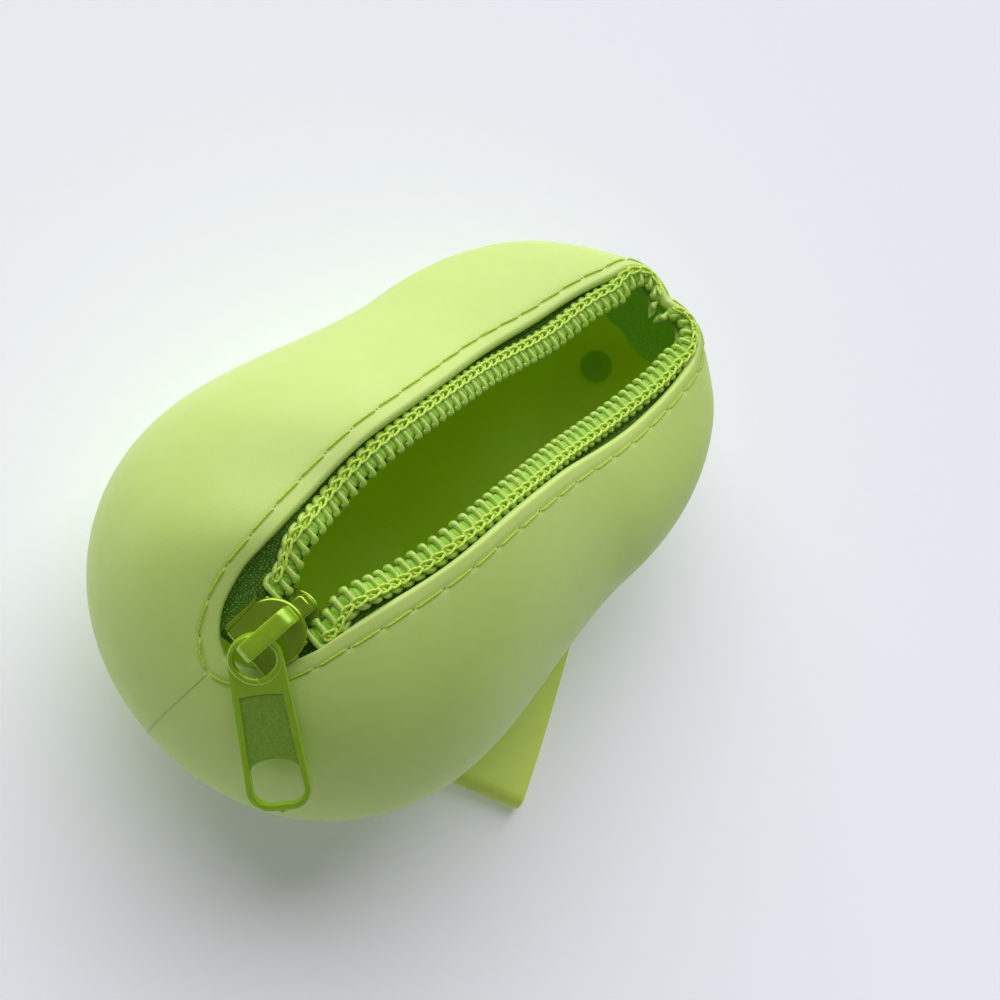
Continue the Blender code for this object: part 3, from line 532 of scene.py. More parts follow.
def mesh_piece(name, verts, faces, looks, smooth=True, uv=None, marks=None, angle=None):
    mesh = bpy.data.meshes.new(name)
    mesh.from_pydata(verts, [], faces)
    for look in looks:
        mesh.materials.append(look)
    if marks:
        mesh.polygons.foreach_set("material_index", marks)
    if uv:
        layer = mesh.uv_layers.new(name="run")
        for loop in mesh.loops:
            layer.data[loop.index].uv = uv[loop.vertex_index]
    mesh.validate()
    made = bpy.data.objects.new(name, mesh)
    scene.collection.objects.link(made)
    volume = sum(mesh.vertices[f.vertices[0]].co.dot(mesh.vertices[b].co.cross(mesh.vertices[c].co))
                 for f in mesh.polygons for b, c in zip(f.vertices[1:], f.vertices[2:]))
    if volume < 0:
        mesh.flip_normals()
    if smooth:
        mesh.shade_smooth()
        if angle:
            mesh.set_sharp_from_angle(angle=radians(angle))
    return made


class Parts:
    """Collects closed strips of rings into one mesh."""

    def __init__(self):
        self.verts, self.faces, self.uv, self.marks = [], [], [], []

    def add(self, rings, marks=None, uv=None):
        """Joins rings in turn and caps both ends; marks gives each ring's look."""
        count, base = len(rings[0]), len(self.verts)
        marks = marks or [0] * len(rings)
        run = 0.0
        for row, ring in enumerate(rings):
            run += (ring[0] - rings[max(row - 1, 0)][0]).length
            self.verts += ring
            if not uv:
                self.uv += [(run, i / count) for i in range(count)]
        self.uv += uv or []
        end = len(self.verts)
        self.faces += [tuple(range(base, base + count)), tuple(range(end - 1, end - count - 1, -1))]
        self.marks += [marks[0], marks[-1]]
        for row, mark in enumerate(marks[1:]):
            start = base + row * count
            for i in range(count):
                a, b = start + i, start + (i + 1) % count
                self.faces.append((a, a + count, b + count, b))
                self.marks.append(mark)

    def piece(self, name, looks, angle=None):
        return mesh_piece(name, self.verts, self.faces, looks, uv=self.uv, marks=self.marks, angle=angle)


def tube(points, radii, sides, wide=1.0, high=1.0, upright=None):
    """Rings of a tube along points, carried along without twist."""
    rings = []
    side = None
    for i, (point, radius) in enumerate(zip(points, radii)):
        run = direction(points, i)
        if upright or not side:
            side = run.cross(upright or Vector((0.13, 0.21, 1.0))).normalized()
        else:
            side = (side - run * side.dot(run)).normalized()
        up = side.cross(run).normalized()
        rings.append(oval(point, side * radius * wide, up * radius * high, sides))
    return rings


def attach(piece, body, slot, *nodes):
    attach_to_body(piece, body)
    if nodes:
        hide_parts(*nodes)


def strip(name, rings, look, *riding, angle=None):
    """A piece made of one closed strip of rings."""
    parts = Parts()
    parts.add(rings)
    attach(parts.piece(name, [look], angle), *riding)


def placed(place, shape, z):
    return [place @ Vector((x, y, z)) for x, y in shape]


# Shell

SHELL_COLUMNS = 150
SEAM_ROW_STEP = 0.00025
SEAM_ROWS = 18
UPPER_ROWS = 16
LOWER_ROWS = 22
MERIDIAN_STEPS = 120
LIP_FILLET = 0.0006
FILLET_STEPS = 6
GROOVE_DEPTH = 0.00016
GROOVE_WIDTH = 0.00045
HEART_SHARE = 0.4
HEART_HEIGHT = 0.022
PARTING_START = 0.0035
PARTING_RUN = 0.0215
PARTING_END_ANGLE = radians(50)
PARTING_STEPS = 60
PARTING_RADIUS = 0.00017
PARTING_FADE = 12
PARTING_HEIGHT = 0.45


def around_share(step, count):
    even = step / count
    return even - END_CROWDING * sin(tau * even) / tau


def meridian(share):
    """Outer points from the sole edge to the lip, with their distances from the lip."""
    fine = EvenCurve([upper_point(share, 1 - k / MERIDIAN_STEPS) for k in range(MERIDIAN_STEPS + 1)])
    wanted = [LIP_FILLET + SEAM_ROW_STEP * k for k in range(SEAM_ROWS)]
    last = wanted[-1]
    wanted += [last + (fine.length - last) * (k + 1) / UPPER_ROWS for k in range(UPPER_ROWS)]
    points = [fine.at(distance / fine.length) for distance in wanted]
    points += [lower_point(share, SOLE_EDGE_ANGLE * (k + 1) / LOWER_ROWS) for k in range(LOWER_ROWS)]
    return points[::-1], [1.0] * LOWER_ROWS + wanted[::-1]


def shell_skin(looks):
    half = SHELL_COLUMNS
    shares = [around_share(i, half) for i in range(half + 1)]
    lines = [meridian(share) for share in shares]
    margins = [height_along(SEAM_MARGINS, LIP.at(share).x) for share in shares]
    columns = [line for line, _ in lines] + [mirrored(line) for line, _ in lines[-2:0:-1]]
    distances = [d for _, d in lines + lines[-2:0:-1]]
    margins += margins[-2:0:-1]
    columns = [leaning(line) for line in columns]
    count = len(columns)
    outer, inner = [], []
    for c, line in enumerate(columns):
        before, after = columns[c - 1], columns[(c + 1) % count]
        skin, lining = [], []
        for r, p in enumerate(line):
            normal = (after[r] - before[r]).cross(direction(line, r)).normalized()
            if r == 0:
                normal = Vector((0, 0, -1))
            elif normal.dot(p - Vector((p.x * HEART_SHARE, 0, HEART_HEIGHT))) < 0:
                normal = -normal
            groove = GROOVE_DEPTH * exp(-((distances[c][r] - margins[c]) / GROOVE_WIDTH) ** 2)
            skin.append(p - normal * groove)
            lining.append(p - normal * WALL)
        tip = (line[-1] - line[-2]).normalized()
        normal = (lining[-1] - line[-1]).normalized()
        turned = []
        for base, first in ((LIP_FILLET, 180), (WALL - LIP_FILLET, 90)):
            for down, up in arc(base, 0.0, LIP_FILLET, first, first - 90, FILLET_STEPS):
                turned.append(line[-1] + normal * down + tip * up)
        outer.append(skin + turned[1:-1])
        inner.append(lining[::-1])
    full = [a + b for a, b in zip(outer, inner)]
    height = len(full[0])
    verts = [full[c][r] for r in range(height) for c in range(count)]
    faces, marks = [], []
    # Faces inward of the lip's fillet take the second look, the inside silicone with its painted shade and
    # painted glow.
    inside_from = len(outer[0]) - FILLET_STEPS + 1
    for r in range(height - 1):
        for c in range(count):
            a, b = r * count + c, r * count + (c + 1) % count
            faces.append((a, b, b + count, a + count))
            marks.append(int(r >= inside_from))
    for base, mark in ((0, 0), ((height - 1) * count, 1)):
        cap = [(base, base + 1, base + count - 1)]
        cap += [(base + i, base + i + 1, base + count - i - 1, base + count - i) for i in range(1, half - 1)]
        cap.append((base + half - 1, base + half, base + half + 1))
        faces += cap if base else [f[::-1] for f in cap]
        marks += [mark] * len(cap)
    attach(mesh_piece("shell_skin", verts, faces, looks, marks=marks), "bag", "silicone", "body_shell")


def parting_line(look):
    """Thin raised line down the nose where the two mould halves met."""
    parts = [k / PARTING_STEPS for k in range(PARTING_STEPS)]
    points = [surface_from_lip(0.0, PARTING_START + PARTING_RUN * part)[0] for part in parts]
    last = points[-1].z
    lower = [lower_point(0.0, PARTING_END_ANGLE * part) for part in parts]
    points += [p for p in lower if p.z < last]
    sizes = [PARTING_RADIUS * min(1.0, (len(points) - i) / PARTING_FADE) for i in range(len(points))]
    line = tube(points, sizes, 8, 1.0, PARTING_HEIGHT, Vector((-1, 0, 0.3)))
    strip("parting_line", line, look, "bag", "silicone")


SEAM_SAMPLES = 400
SEAM_REACH = 0.002
STITCH_STEPS = 30
STITCH_GAP = 0.03
STITCH_DIVE = 0.0005
STITCH_STAND = 0.00006
STITCH_EASE = 0.12
STITCH_CROWN = 0.00004
STITCH_SLANT = 0.00022
STITCH_TWIST = 0.0003
STRAND_RADIUS = 0.00009
PLY_RADIUS = 0.00008
PLY_TWIST = 0.0011
HOLE_SINK = 0.00018
HOLE_CROWN = 0.0001
HOLE_LENGTH = 0.00019
HOLE_WIDTH = 0.00015


def seam_line(side):
    """Points and outward directions along the seam of one side."""
    points, outs = [], []
    for k in range(SEAM_SAMPLES + 1):
        share = k / SEAM_SAMPLES
        place, out = surface_from_lip(share, height_along(SEAM_MARGINS, LIP.at(share).x))
        points.append(place)
        outs.append(out)
    if side < 0:
        points, outs = mirrored(points), mirrored(outs)
    return EvenCurve(leaning(points)), outs


def seam_frame(line, outs, share):
    """Place on the seam, with the directions out of, along and across it."""
    spot = min(max(share, 0.0), 1.0) * SEAM_SAMPLES
    i = min(int(spot), SEAM_SAMPLES - 1)
    out = outs[i].lerp(outs[i + 1], spot - i).normalized()
    way = (line.at(share + SEAM_REACH) - line.at(share - SEAM_REACH)).normalized()
    return line.at(share), out, way, way.cross(out).normalized()


def plied(parts, points, ups, twist_from):
    """Three twisted strands along points."""
    for strand in range(3):
        path, run = [], twist_from
        for i, (p, up) in enumerate(zip(points, ups)):
            run += (p - points[max(i - 1, 0)]).length
            across = direction(points, i).cross(up).normalized()
            turn = tau * (run / PLY_TWIST + strand / 3)
            path.append(p + (across * cos(turn) + up * sin(turn)) * PLY_RADIUS)
        parts.add(tube(path, [STRAND_RADIUS] * len(path), 6))


def seam(side, word, thread, hole):
    line, outs = seam_line(side)
    stitches = round(line.length / STITCH_LENGTH)
    parts, holes = Parts(), Parts()
    for stitch in range(stitches):
        points, ups = [], []
        for k in range(STITCH_STEPS + 1):
            t = STITCH_GAP + (1 - 2 * STITCH_GAP) * k / STITCH_STEPS
            place, up, _, across = seam_frame(line, outs, (stitch + t) / stitches)
            ease = smooth_step(0.0, STITCH_EASE, min(t, 1 - t) - STITCH_GAP)
            rise = (STITCH_DIVE + STITCH_STAND) * ease - STITCH_DIVE + STITCH_CROWN * sin(pi * t)
            points.append(place + up * rise + across * STITCH_SLANT * (t - 0.5) * side)
            ups.append(up)
        plied(parts, points, ups, stitch * STITCH_TWIST)
    # Small sunk dots at the needle holes, darker than the silicone as painted shade in the holes.
    for stitch in range(1, stitches):
        place, up, way, across = seam_frame(line, outs, stitch / stitches)
        rings = []
        for size, lift in arc(0.02, 0.0, 1.0, 0, 90, 4):
            centre = place + up * (HOLE_CROWN * lift - HOLE_SINK)
            rings.append(oval(centre, way * HOLE_LENGTH * size, across * HOLE_WIDTH * size, 12))
        holes.add(rings)
    attach(holes.piece("needle_holes_" + word, [hole]), "bag", "silicone")
    attach(parts.piece("seam_stitches_" + word, [thread]), "bag", "thread", "seam_thread_" + word)


# Zip

LIP_SAMPLES = 1600
TAPE_ROWS = 150
TURN_ROWS = 60
TAPE_EDGE_BULGE = 0.4
TAPE_EDGE_RUN = 0.0002
TAPE_END_ANGLE = radians(29)
TAPE_END_SPREAD = 0.052
TAPE_END_WAIST = 0.45
TAPE_END_TOP = 0.8
TAPE_END_CELLS = (32, 18)
TAPE_END_ROUNDING = 0.10
TAPE_END_WAVE = 0.012
CHAIN_STEPS = 500
CHAIN_TURN_STEPS = 120
CHAIN_TURN_EASE = 0.5
COIL_TURN_END = 0.90
CURL_STEPS = 28
CURL_BOW_ACROSS = 0.6
CURL_BOW_UP = 0.8
HEAD_ADVANCE = 0.15
HEAD_SPAN = 0.15
HEAD_SHARPNESS = 7
HEAD_BULGE = 1.12
HEAD_WIDENING = 0.55
HEAD_THICKENING = 0.1
CORE_RADIUS = 0.00058
CORE_THINNING = 0.00018
CORE_STEPS = 300
CORE_FADE = 50
CORE_SECTION = (2.2, 0.85)
STITCH_ROW = 0.69
YARN_RADIUS = 0.00020
YARN_LIFT = 0.00006
LOOP_STEPS = 28
LOOP_REACH = 0.58
LOOP_PINCH = 0.00050
LOOP_LEAN = 0.45
LOOP_WAVES = (0.00010, 0.00014)
CROSS_STEPS = 12
CROSS_PLACES = (0.15, 0.65)
CROSS_SHIFTS = (-0.0004, 0.0005)
CROSS_RISE = 0.0002
CROSS_SINK = 0.00032


def chain_height(x):
    return tape_height(x) + FAR_RAISE * smooth_step(FAR_RAISE_START, TURN_X, x)


def first_share(reached):
    """First share of the lip's length where a test of its point holds."""
    return next(k / LIP_SAMPLES for k in range(LIP_SAMPLES) if reached(LIP.at(k / LIP_SAMPLES)))


TURN_SHARE = first_share(lambda lip: lip.x > TURN_X)
TURN_START = LIP.at(TURN_SHARE).x
TURN_POINTS = [(TURN_START, tape_gap(TURN_START)), *TURN_LINE]
TURN = EvenCurve(curve_through([(*p, 0.0) for p in TURN_POINTS], CURVE_STEPS))


def turn_place(part):
    """The tape's inner point in the far turn, and the way from there to the lip."""
    lip = LIP.at(TURN_SHARE + (1 - TURN_SHARE) * part)
    inner = TURN.at(part)
    low = rim_height(TURN_X) - chain_height(TURN_X)
    high = COIL_REST + COIL_HEIGHT - TURN_COIL_TOP
    inner.z = rim_height(lip.x) - low + (low - high) * smooth_step(*TURN_RISE, part)
    return inner, level(lip - inner)


def tape_ring(share, inner, outward, reach, clear):
    tucked = []
    for distance in (TAPE_TUCK / 2, TAPE_TUCK):
        place, out = surface_from_lip(share, distance)
        tucked.append(place - out * (WALL + clear))
    room = level(tucked[0] - inner).dot(outward)
    line = [inner, inner + outward * min(reach, room * TAPE_LEVEL_SHARE), *tucked]
    along = LIP.at(share + SHARE_STEP) - LIP.at(share - SHARE_STEP)
    back = []
    for i, spot in enumerate(line):
        way = direction(line, i).cross(along).normalized()
        if way.z + way.dot(outward) > 0:
            way = -way
        back.append(spot + way * TAPE_THICKNESS)
    return line + back[::-1]


def tape(side, word, looks):
    rings = []
    start_share = first_share(lambda lip: lip.y - side * chain_centre(SLIDER_X) > TAPE_START_WIDTH)
    lip_start = LIP.at(start_share).x
    start_x = lip_start + TAPE_START
    flat_width = PLATE_WIDTH / 2 + GAP
    for step in range(TAPE_ROWS + 1):
        share = start_share + (TURN_SHARE - start_share) * step / TAPE_ROWS
        x = start_x + (TURN_START - start_x) * (LIP.at(share).x - lip_start) / (TURN_START - lip_start)
        centre = side * chain_centre(x)
        inner = Vector((x, centre + tape_gap(x), chain_height(x)))
        in_slider = 1 - smooth_step(SLIDER_X + PLATE_LENGTH / 2, SLIDER_X + PLATE_LENGTH, x)
        level_to = max(inner.y + COIL_WIDTH + GAP, (centre + flat_width) * in_slider)
        rings.append(tape_ring(share, inner, Vector((0.0, 1.0, 0.0)), level_to - inner.y, 3 * GAP))
    for step in range(1, TURN_ROWS + 1):
        part = step / TURN_ROWS
        inner, outward = turn_place(part)
        narrowing = smooth_step(*TURN_NARROWING, part)
        reach = min(COIL_WIDTH + GAP, outward.length - (WALL + 2 * GAP) * narrowing)
        ring = tape_ring(TURN_SHARE + (1 - TURN_SHARE) * part, inner, outward.normalized(), reach,
                         (3 - 1.5 * narrowing) * GAP)
        rings.append(apart(ring, CHAIN_CENTRE_GAP))
    rounded, uv = [], []
    run = 0.0
    for ring in rings:
        ring = leaning(ring if side > 0 else mirrored(ring))
        middle, beside = (ring[0] + ring[7]) / 2, (ring[1] + ring[6]) / 2
        rounded.append([middle + (middle - beside).normalized() * TAPE_THICKNESS * TAPE_EDGE_BULGE, *ring])
        run += (ring[1] - rounded[max(len(rounded) - 2, 0)][2]).length
        across = [0.0, TAPE_EDGE_RUN]
        for a, b in zip(ring[:3], ring[1:4]):
            across.append(across[-1] + (b - a).length)
        across += [across[4] + TAPE_THICKNESS, *across[3:0:-1]]
        uv += [(run, v) for v in across]
    parts = Parts()
    # The far turn's rows take the second look, the plain lighter copy of the tape's colour: painted light.
    parts.add(rounded, [0] * (TAPE_ROWS + 1) + [1] * TURN_ROWS, uv)
    attach(parts.piece("knit_tape_" + word, looks), "bag", "tape", "zip_tape_" + word)


def tape_end_point(share, low):
    """Point on the far wall and its outward direction, low being 0 near the lip and 1 under the waist."""
    spots = []
    for here, down in ((share, low), (share - SHARE_STEP, low), (share, low + 0.02)):
        spots.append(upper_point(here, TAPE_END_TOP * (1 - down / TAPE_END_WAIST)) if down < TAPE_END_WAIST
                     else lower_point(here, TAPE_END_ANGLE * (down - TAPE_END_WAIST) / (1 - TAPE_END_WAIST)))
    out = (spots[1] - spots[0]).cross(spots[2] - spots[0]).normalized()
    return spots[0], out if out.x > 0 else -out


def tape_ends(look):
    """The tape's ends, hanging down the inside of the far wall."""
    columns, rows = TAPE_END_CELLS
    sheets = []
    for depth in (WALL + GAP, WALL + GAP + TAPE_THICKNESS):
        sheet = []
        for c in range(columns + 1):
            spread = 2 * c / columns - 1
            reach = 1 - TAPE_END_ROUNDING * abs(spread) ** 6 - TAPE_END_WAVE * sin(5 * spread)
            line = []
            for r in range(rows + 1):
                place, out = tape_end_point(1 - TAPE_END_SPREAD * abs(spread), reach * r / rows)
                point = place - out * depth
                line.append(Vector((point.x, copysign(max(point.y, 0.0), spread), point.z)))
            sheet.append(leaning(line))
        sheets.append(sheet)
    strip("tape_ends", [near + far[::-1] for near, far in zip(*sheets)], look, "bag", "tape", angle=40)


class Chain:
    """A coil's run, from its heads' edge to its outer loops' edge, along its middle line."""

    def __init__(self, side, first):
        rows = []
        lift = COIL_REST + COIL_HEIGHT / 2
        for step in range(CHAIN_STEPS + 1):
            x = first + (TURN_X - first) * step / CHAIN_STEPS
            shift = HEAD_SHIFT * smooth_step(COIL_GAPS[0][0], COIL_GAPS[3][0], x)
            near = Vector((x, side * chain_centre(x) + coil_gap(x) - shift, chain_height(x) + lift))
            rows.append((near, near + Vector((0.0, LOOP_WIDTH, 0.0))))
        for step in range(1, CHAIN_TURN_STEPS + 1):
            part = COIL_TURN_END * step / CHAIN_TURN_STEPS
            inner, outward = turn_place(part)
            way = outward.normalized()
            inner.z += lift
            ease = smooth_step(0.0, CHAIN_TURN_EASE, part)
            near = inner - way * (GAP + HEAD_SHIFT) * (1 - ease)
            far = (near + way * LOOP_WIDTH).lerp(inner + outward, ease)
            rows.append(apart((near, far), CHAIN_CENTRE_GAP + FILAMENT_RADIUS))
        self.rows = [leaning(pair if side > 0 else mirrored(pair)) for pair in rows]
        self.middle = EvenCurve([(a + b) / 2 for a, b in self.rows])
        self.count = int(self.middle.length / COIL_PITCH)

    def at(self, place, across, lift=0.0):
        """Point a number of pitches along, across from 0 at the heads to 1 at the outer loops."""
        points = self.middle.points
        i, part = self.middle.find(place / self.count)
        near, far = (a.lerp(b, part) for a, b in zip(self.rows[i], self.rows[i + 1]))
        before, after = points[max(i - 3, 0)], points[min(i + 4, len(points) - 1)]
        up = (after - before).cross(far - near).normalized()
        return near + (far - near) * across + (up if up.z > 0 else -up) * lift


def bowed(value, power):
    return copysign(abs(value) ** power, value)


def coil(side, word, nylon, core, thread):
    run = Chain(side, COIL_GAPS[0][0])
    inset = FILAMENT_RADIUS / LOOP_WIDTH
    high = COIL_HEIGHT / 2 - FILAMENT_RADIUS
    points, ways, heads = [], [], []
    for step in range(run.count * CURL_STEPS + 1):
        turn, part = divmod(step, CURL_STEPS)
        part /= CURL_STEPS
        angle = tau * part
        start, middle, end = (smooth_step(spot - HEAD_SPAN, spot + HEAD_SPAN, part) for spot in (0, 0.5, 1))
        place = turn + HEAD_ADVANCE * (start + end - 0.5) + (1 - HEAD_ADVANCE) * middle
        across = 0.5 - (0.5 - inset) * bowed(cos(angle), CURL_BOW_ACROSS)
        bulge = HEAD_BULGE if cos(angle) > 0.5 else 1.0
        points.append(run.at(place, across, high * bulge * bowed(sin(angle), CURL_BOW_UP)))
        ways.append((run.at(place + 0.1, 0.5) - run.at(place - 0.1, 0.5)).normalized())
        heads.append(max(cos(angle), 0.0) ** HEAD_SHARPNESS)
    rings = []
    for i, (point, way, head) in enumerate(zip(points, ways, heads)):
        here = direction(points, i)
        along = (way - here * way.dot(here)).normalized() * FILAMENT_RADIUS * (1 + HEAD_WIDENING * head)
        other = here.cross(along).normalized() * FILAMENT_RADIUS * (1 + HEAD_THICKENING * head)
        rings.append(oval(point, along, other, 10))
    strip("coil_spiral_" + word, rings, nylon, "bag", "coil", "zip_coil_" + word)
    # The core cord, wide and bright between the coil's legs, is partly the real filler cord and partly
    # painted light for light coming through the clear coil.
    path = [run.at(run.count * k / CORE_STEPS, 0.5) for k in range(CORE_STEPS + 1)]
    thinner = [smooth_step(CORE_STEPS - CORE_FADE, CORE_STEPS, k) for k in range(CORE_STEPS + 1)]
    sizes = [CORE_RADIUS - CORE_THINNING * part for part in thinner]
    cord = tube(path, sizes, 12, *CORE_SECTION, Vector((0, 0, 1)))
    strip("coil_core_" + word, cord, core, "bag", "thread")
    row = Chain(side, SLIDER_X + PLATE_LENGTH / 2 * cos(SLIDER_TILT))
    top = COIL_HEIGHT / 2 + YARN_LIFT
    chain = Parts()
    for link in range(row.count):
        loop, cross = [], []
        for along, aside in arc(0.0, 0.0, 1.0, 0, 360, LOOP_STEPS):
            pinch = LOOP_PINCH * aside * (1 - LOOP_LEAN * along)
            lift = LOOP_WAVES[0] * along - LOOP_WAVES[1] * (2 * along ** 2 - 1)
            loop.append(row.at(link + 0.5 + LOOP_REACH * along, STITCH_ROW + pinch / LOOP_WIDTH, top + lift))
        for k in range(CROSS_STEPS + 1):
            part = k / CROSS_STEPS
            place, shift = (a + (b - a) * part for a, b in (CROSS_PLACES, CROSS_SHIFTS))
            lift = CROSS_RISE * sin(pi * part) - CROSS_SINK
            cross.append(row.at(link + place, STITCH_ROW + shift / LOOP_WIDTH, top + lift))
        for line in (loop, cross):
            chain.add(tube(line, [YARN_RADIUS] * len(line), 7))
    attach(chain.piece("chain_stitch_" + word, [thread]), "bag", "thread", "coil_stitching_" + word)


# Slider

PLATE_CORNER = 0.0007
PLATE_CORNER_STEPS = 6
PLATE_NOSE_STEPS = 40
PLATE_EDGE = 0.00042
LOWER_PLATE_SETBACK = 0.0016
CASTING_EDGE = 0.0003
POST_CORNER = 0.0004
FLANGE_CORNER = 0.0002
FLANGE_EDGE = 0.00012
# Prong at the plate's edge: steps from its rear corner, then steps from its middle
BLADE_REAR = ((0.0002, -0.0002), (0.0008, 0.0006))
BLADE_FRONT = ((0.0002, 0.0002), (0.0011, 0.0009), (-0.0004, 0.0006))
BLADE_BELOW = 0.0004
BLADE_ABOVE = 0.0001
BAIL_HOOK_STEP = 0.0004
BAIL_BEND_STEPS = 16
BAIL_SIDES = 24
BAIL_SQUARENESS = 0.45
BAIL_END_SHRINK = 0.8
PULLER_EDGE = 0.0001
PULLER_BEVEL = 0.00022
TRIM_WORN = (-0.3, 0.9)
TRIM_RADIUS = 0.00034
TRIM_GROWTH = 0.00020
TRIM_SHIFT = 0.00038
TRIM_SINK = 0.00022
PULLER_NUB = ((-0.0004, 0.0006), (0.0002, 0.00058), (0.0005, 0.00040), (0.0006, 0.0001))
PANEL_OVERRUN = 0.0002
PANEL_MARGINS = (0.0002, 0.0001, 0.00012)
PANEL_SHEET = (-0.0001, 0.00004)
PANEL_STRIPS = 24


def slider_place():
    return Matrix.Translation(slider_origin()) @ Matrix.Rotation(-SLIDER_TILT, 4, "Y")


def inset_outline(outline, inset):
    moved = []
    for before, here, after in zip(outline[-1:] + outline[:-1], outline, outline[1:] + outline[:1]):
        run = Vector(after) - Vector(before)
        normal = Vector((-run.y, run.x)).normalized()
        moved.append((here[0] + normal.x * inset, here[1] + normal.y * inset))
    return moved


def soft_prism(parts, outline, low, high, edge, place, steps=5):
    """An outline with thickness and rounded edges."""
    fillet = [(edge - z, edge - inset) for inset, z in arc(0.0, 0.0, edge, 90, 0, steps)]
    levels = [(low + z, inset) for z, inset in fillet] + [(high - z, inset) for z, inset in fillet[::-1]]
    parts.add([placed(place, inset_outline(outline, inset), z) for z, inset in levels])


def both_sides(line):
    """A line and its mirror image across the x axis, in one run."""
    return line + [(x, -y) for x, y in line[::-1]]


def plate_outline(length, front_width, rear_width, front):
    rear, half = front - length, rear_width / 2
    corner = arc(rear + PLATE_CORNER, half - PLATE_CORNER, PLATE_CORNER, 90, 180, PLATE_CORNER_STEPS)
    return both_sides(corner) + arc(front - front_width / 2, 0.0, front_width / 2, -90, 90, PLATE_NOSE_STEPS)


def rounded_block(rear, front, low, high, corner):
    spots = ((rear + corner, low + corner), (front - corner, low + corner),
             (front - corner, high - corner), (rear + corner, high - corner))
    return [p for i, (x, y) in enumerate(spots) for p in arc(x, y, corner, 180 + 90 * i, 270 + 90 * i, 4)]


def slider(paint):
    place = slider_place()
    half = PLATE_LENGTH / 2
    channel = TAPE_DEPTH - PLATE_THICKNESS + TAPE_THICKNESS / cos(SLIDER_TILT) + GAP
    lower_top = -PLATE_THICKNESS - channel
    parts = Parts()
    top = plate_outline(PLATE_LENGTH - PLATE_SETBACK, PLATE_WIDTH, PLATE_REAR_WIDTH, half - PLATE_SETBACK)
    soft_prism(parts, top, -PLATE_THICKNESS, 0.0, PLATE_EDGE, place)
    lower = plate_outline(LOWER_PLATE_FRONT + half - LOWER_PLATE_SETBACK, LOWER_PLATE_WIDTH,
                          LOWER_PLATE_WIDTH, LOWER_PLATE_FRONT)
    soft_prism(parts, lower, lower_top - PLATE_THICKNESS, lower_top, CASTING_EDGE, place)
    bite = PLATE_THICKNESS / 2
    front = LOWER_PLATE_FRONT - PLATE_THICKNESS / 4
    shoulder = front - POST_LENGTH * (1 - POST_TAPER)
    wide = POST_WIDTH / 2
    post = both_sides([(shoulder, -wide), (front - POST_CORNER, -wide), (front, POST_CORNER - wide)])
    post.append((front - POST_LENGTH, 0.0))
    soft_prism(parts, post, lower_top - bite, -PLATE_THICKNESS * 0.2, CASTING_EDGE, place)
    flange_low = -PLATE_THICKNESS - GAP - COIL_HEIGHT
    outer = PLATE_REAR_WIDTH / 2
    for rear, sign in ((-half + PLATE_THICKNESS, 1), (SHORT_FLANGE_REAR, -1)):
        low, high = sorted((sign * (outer - FLANGE_THICKNESS), sign * outer))
        block = rounded_block(rear, FLANGE_FRONT, low, high, FLANGE_CORNER)
        soft_prism(parts, block, flange_low, -bite, FLANGE_EDGE, place)
    first, last = ((x - half, outer + y) for x, y in BLADE_REAR)
    blade = [first, *((x, outer + y) for x, y in BLADE_FRONT), last]
    soft_prism(parts, blade, -PLATE_THICKNESS - BLADE_BELOW, BLADE_ABOVE, FLANGE_EDGE, place)
    attach(parts.piece("slider_casting", [paint], 50), "slider", "paint", "slider_body")


def bail(paint):
    inside, half = BAIL_INSIDE_HEIGHT, BAIL_THICKNESS / 2
    front, rear = BAIL_FRONT - half, BAIL_REAR + half
    bend = inside + half - BAIL_BEND
    path = [(front, GAP), (front, inside / 4), (front, inside / 2)]
    path += arc(front - BAIL_BEND, bend, BAIL_BEND, 0, 90, BAIL_BEND_STEPS)
    path += arc(rear + BAIL_BEND, bend, BAIL_BEND, 90, 180, BAIL_BEND_STEPS)
    path += [(rear, inside / 2), (rear, BAIL_HOOK_GAP + BAIL_HOOK_STEP), (rear, BAIL_HOOK_GAP)]
    path = [Vector(spot) for spot in path]
    place = slider_place()
    rings = []
    for i, (x, z) in enumerate(path):
        run = direction(path, i)
        shrink = BAIL_END_SHRINK if i in (0, len(path) - 1) else 1.0
        ring = []
        for k in range(BAIL_SIDES):
            turn = tau * (k + 0.5) / BAIL_SIDES
            y = bowed(cos(turn), BAIL_SQUARENESS) * BAIL_WIDTH / 2 * shrink
            depth = bowed(sin(turn), BAIL_SQUARENESS) * half * shrink
            ring.append(place @ Vector((x + run.y * depth, y, z - run.x * depth)))
        rings.append(ring)
    strip("bail_band", rings, paint, "slider", "paint", "slider_bail", angle=50)


def puller_place():
    eye, tip = Vector(PULLER_EYE), Vector(PULLER_TIP)
    along = (tip - eye).normalized()
    facing = Vector(PULLER_FACING)
    facing = (facing - along * facing.dot(along)).normalized()
    turn = Matrix((along, facing.cross(along), facing)).transposed().to_4x4()
    return Matrix.Translation(eye) @ turn


def tab_outline(inset, start, reach):
    corner = PULLER_CORNER - inset
    end_half = PULLER_END_WIDTH / 2 - inset
    eye_half = PULLER_EYE_RADIUS - inset
    return both_sides([(start, -(eye_half + (end_half - eye_half) / reach * start)),
                       *arc(reach - inset - corner, corner - end_half, corner, -90, 0, 12)])


def circle(radius, sides=64):
    return arc(0.0, 0.0, radius, 0, 360, sides)[:-1]


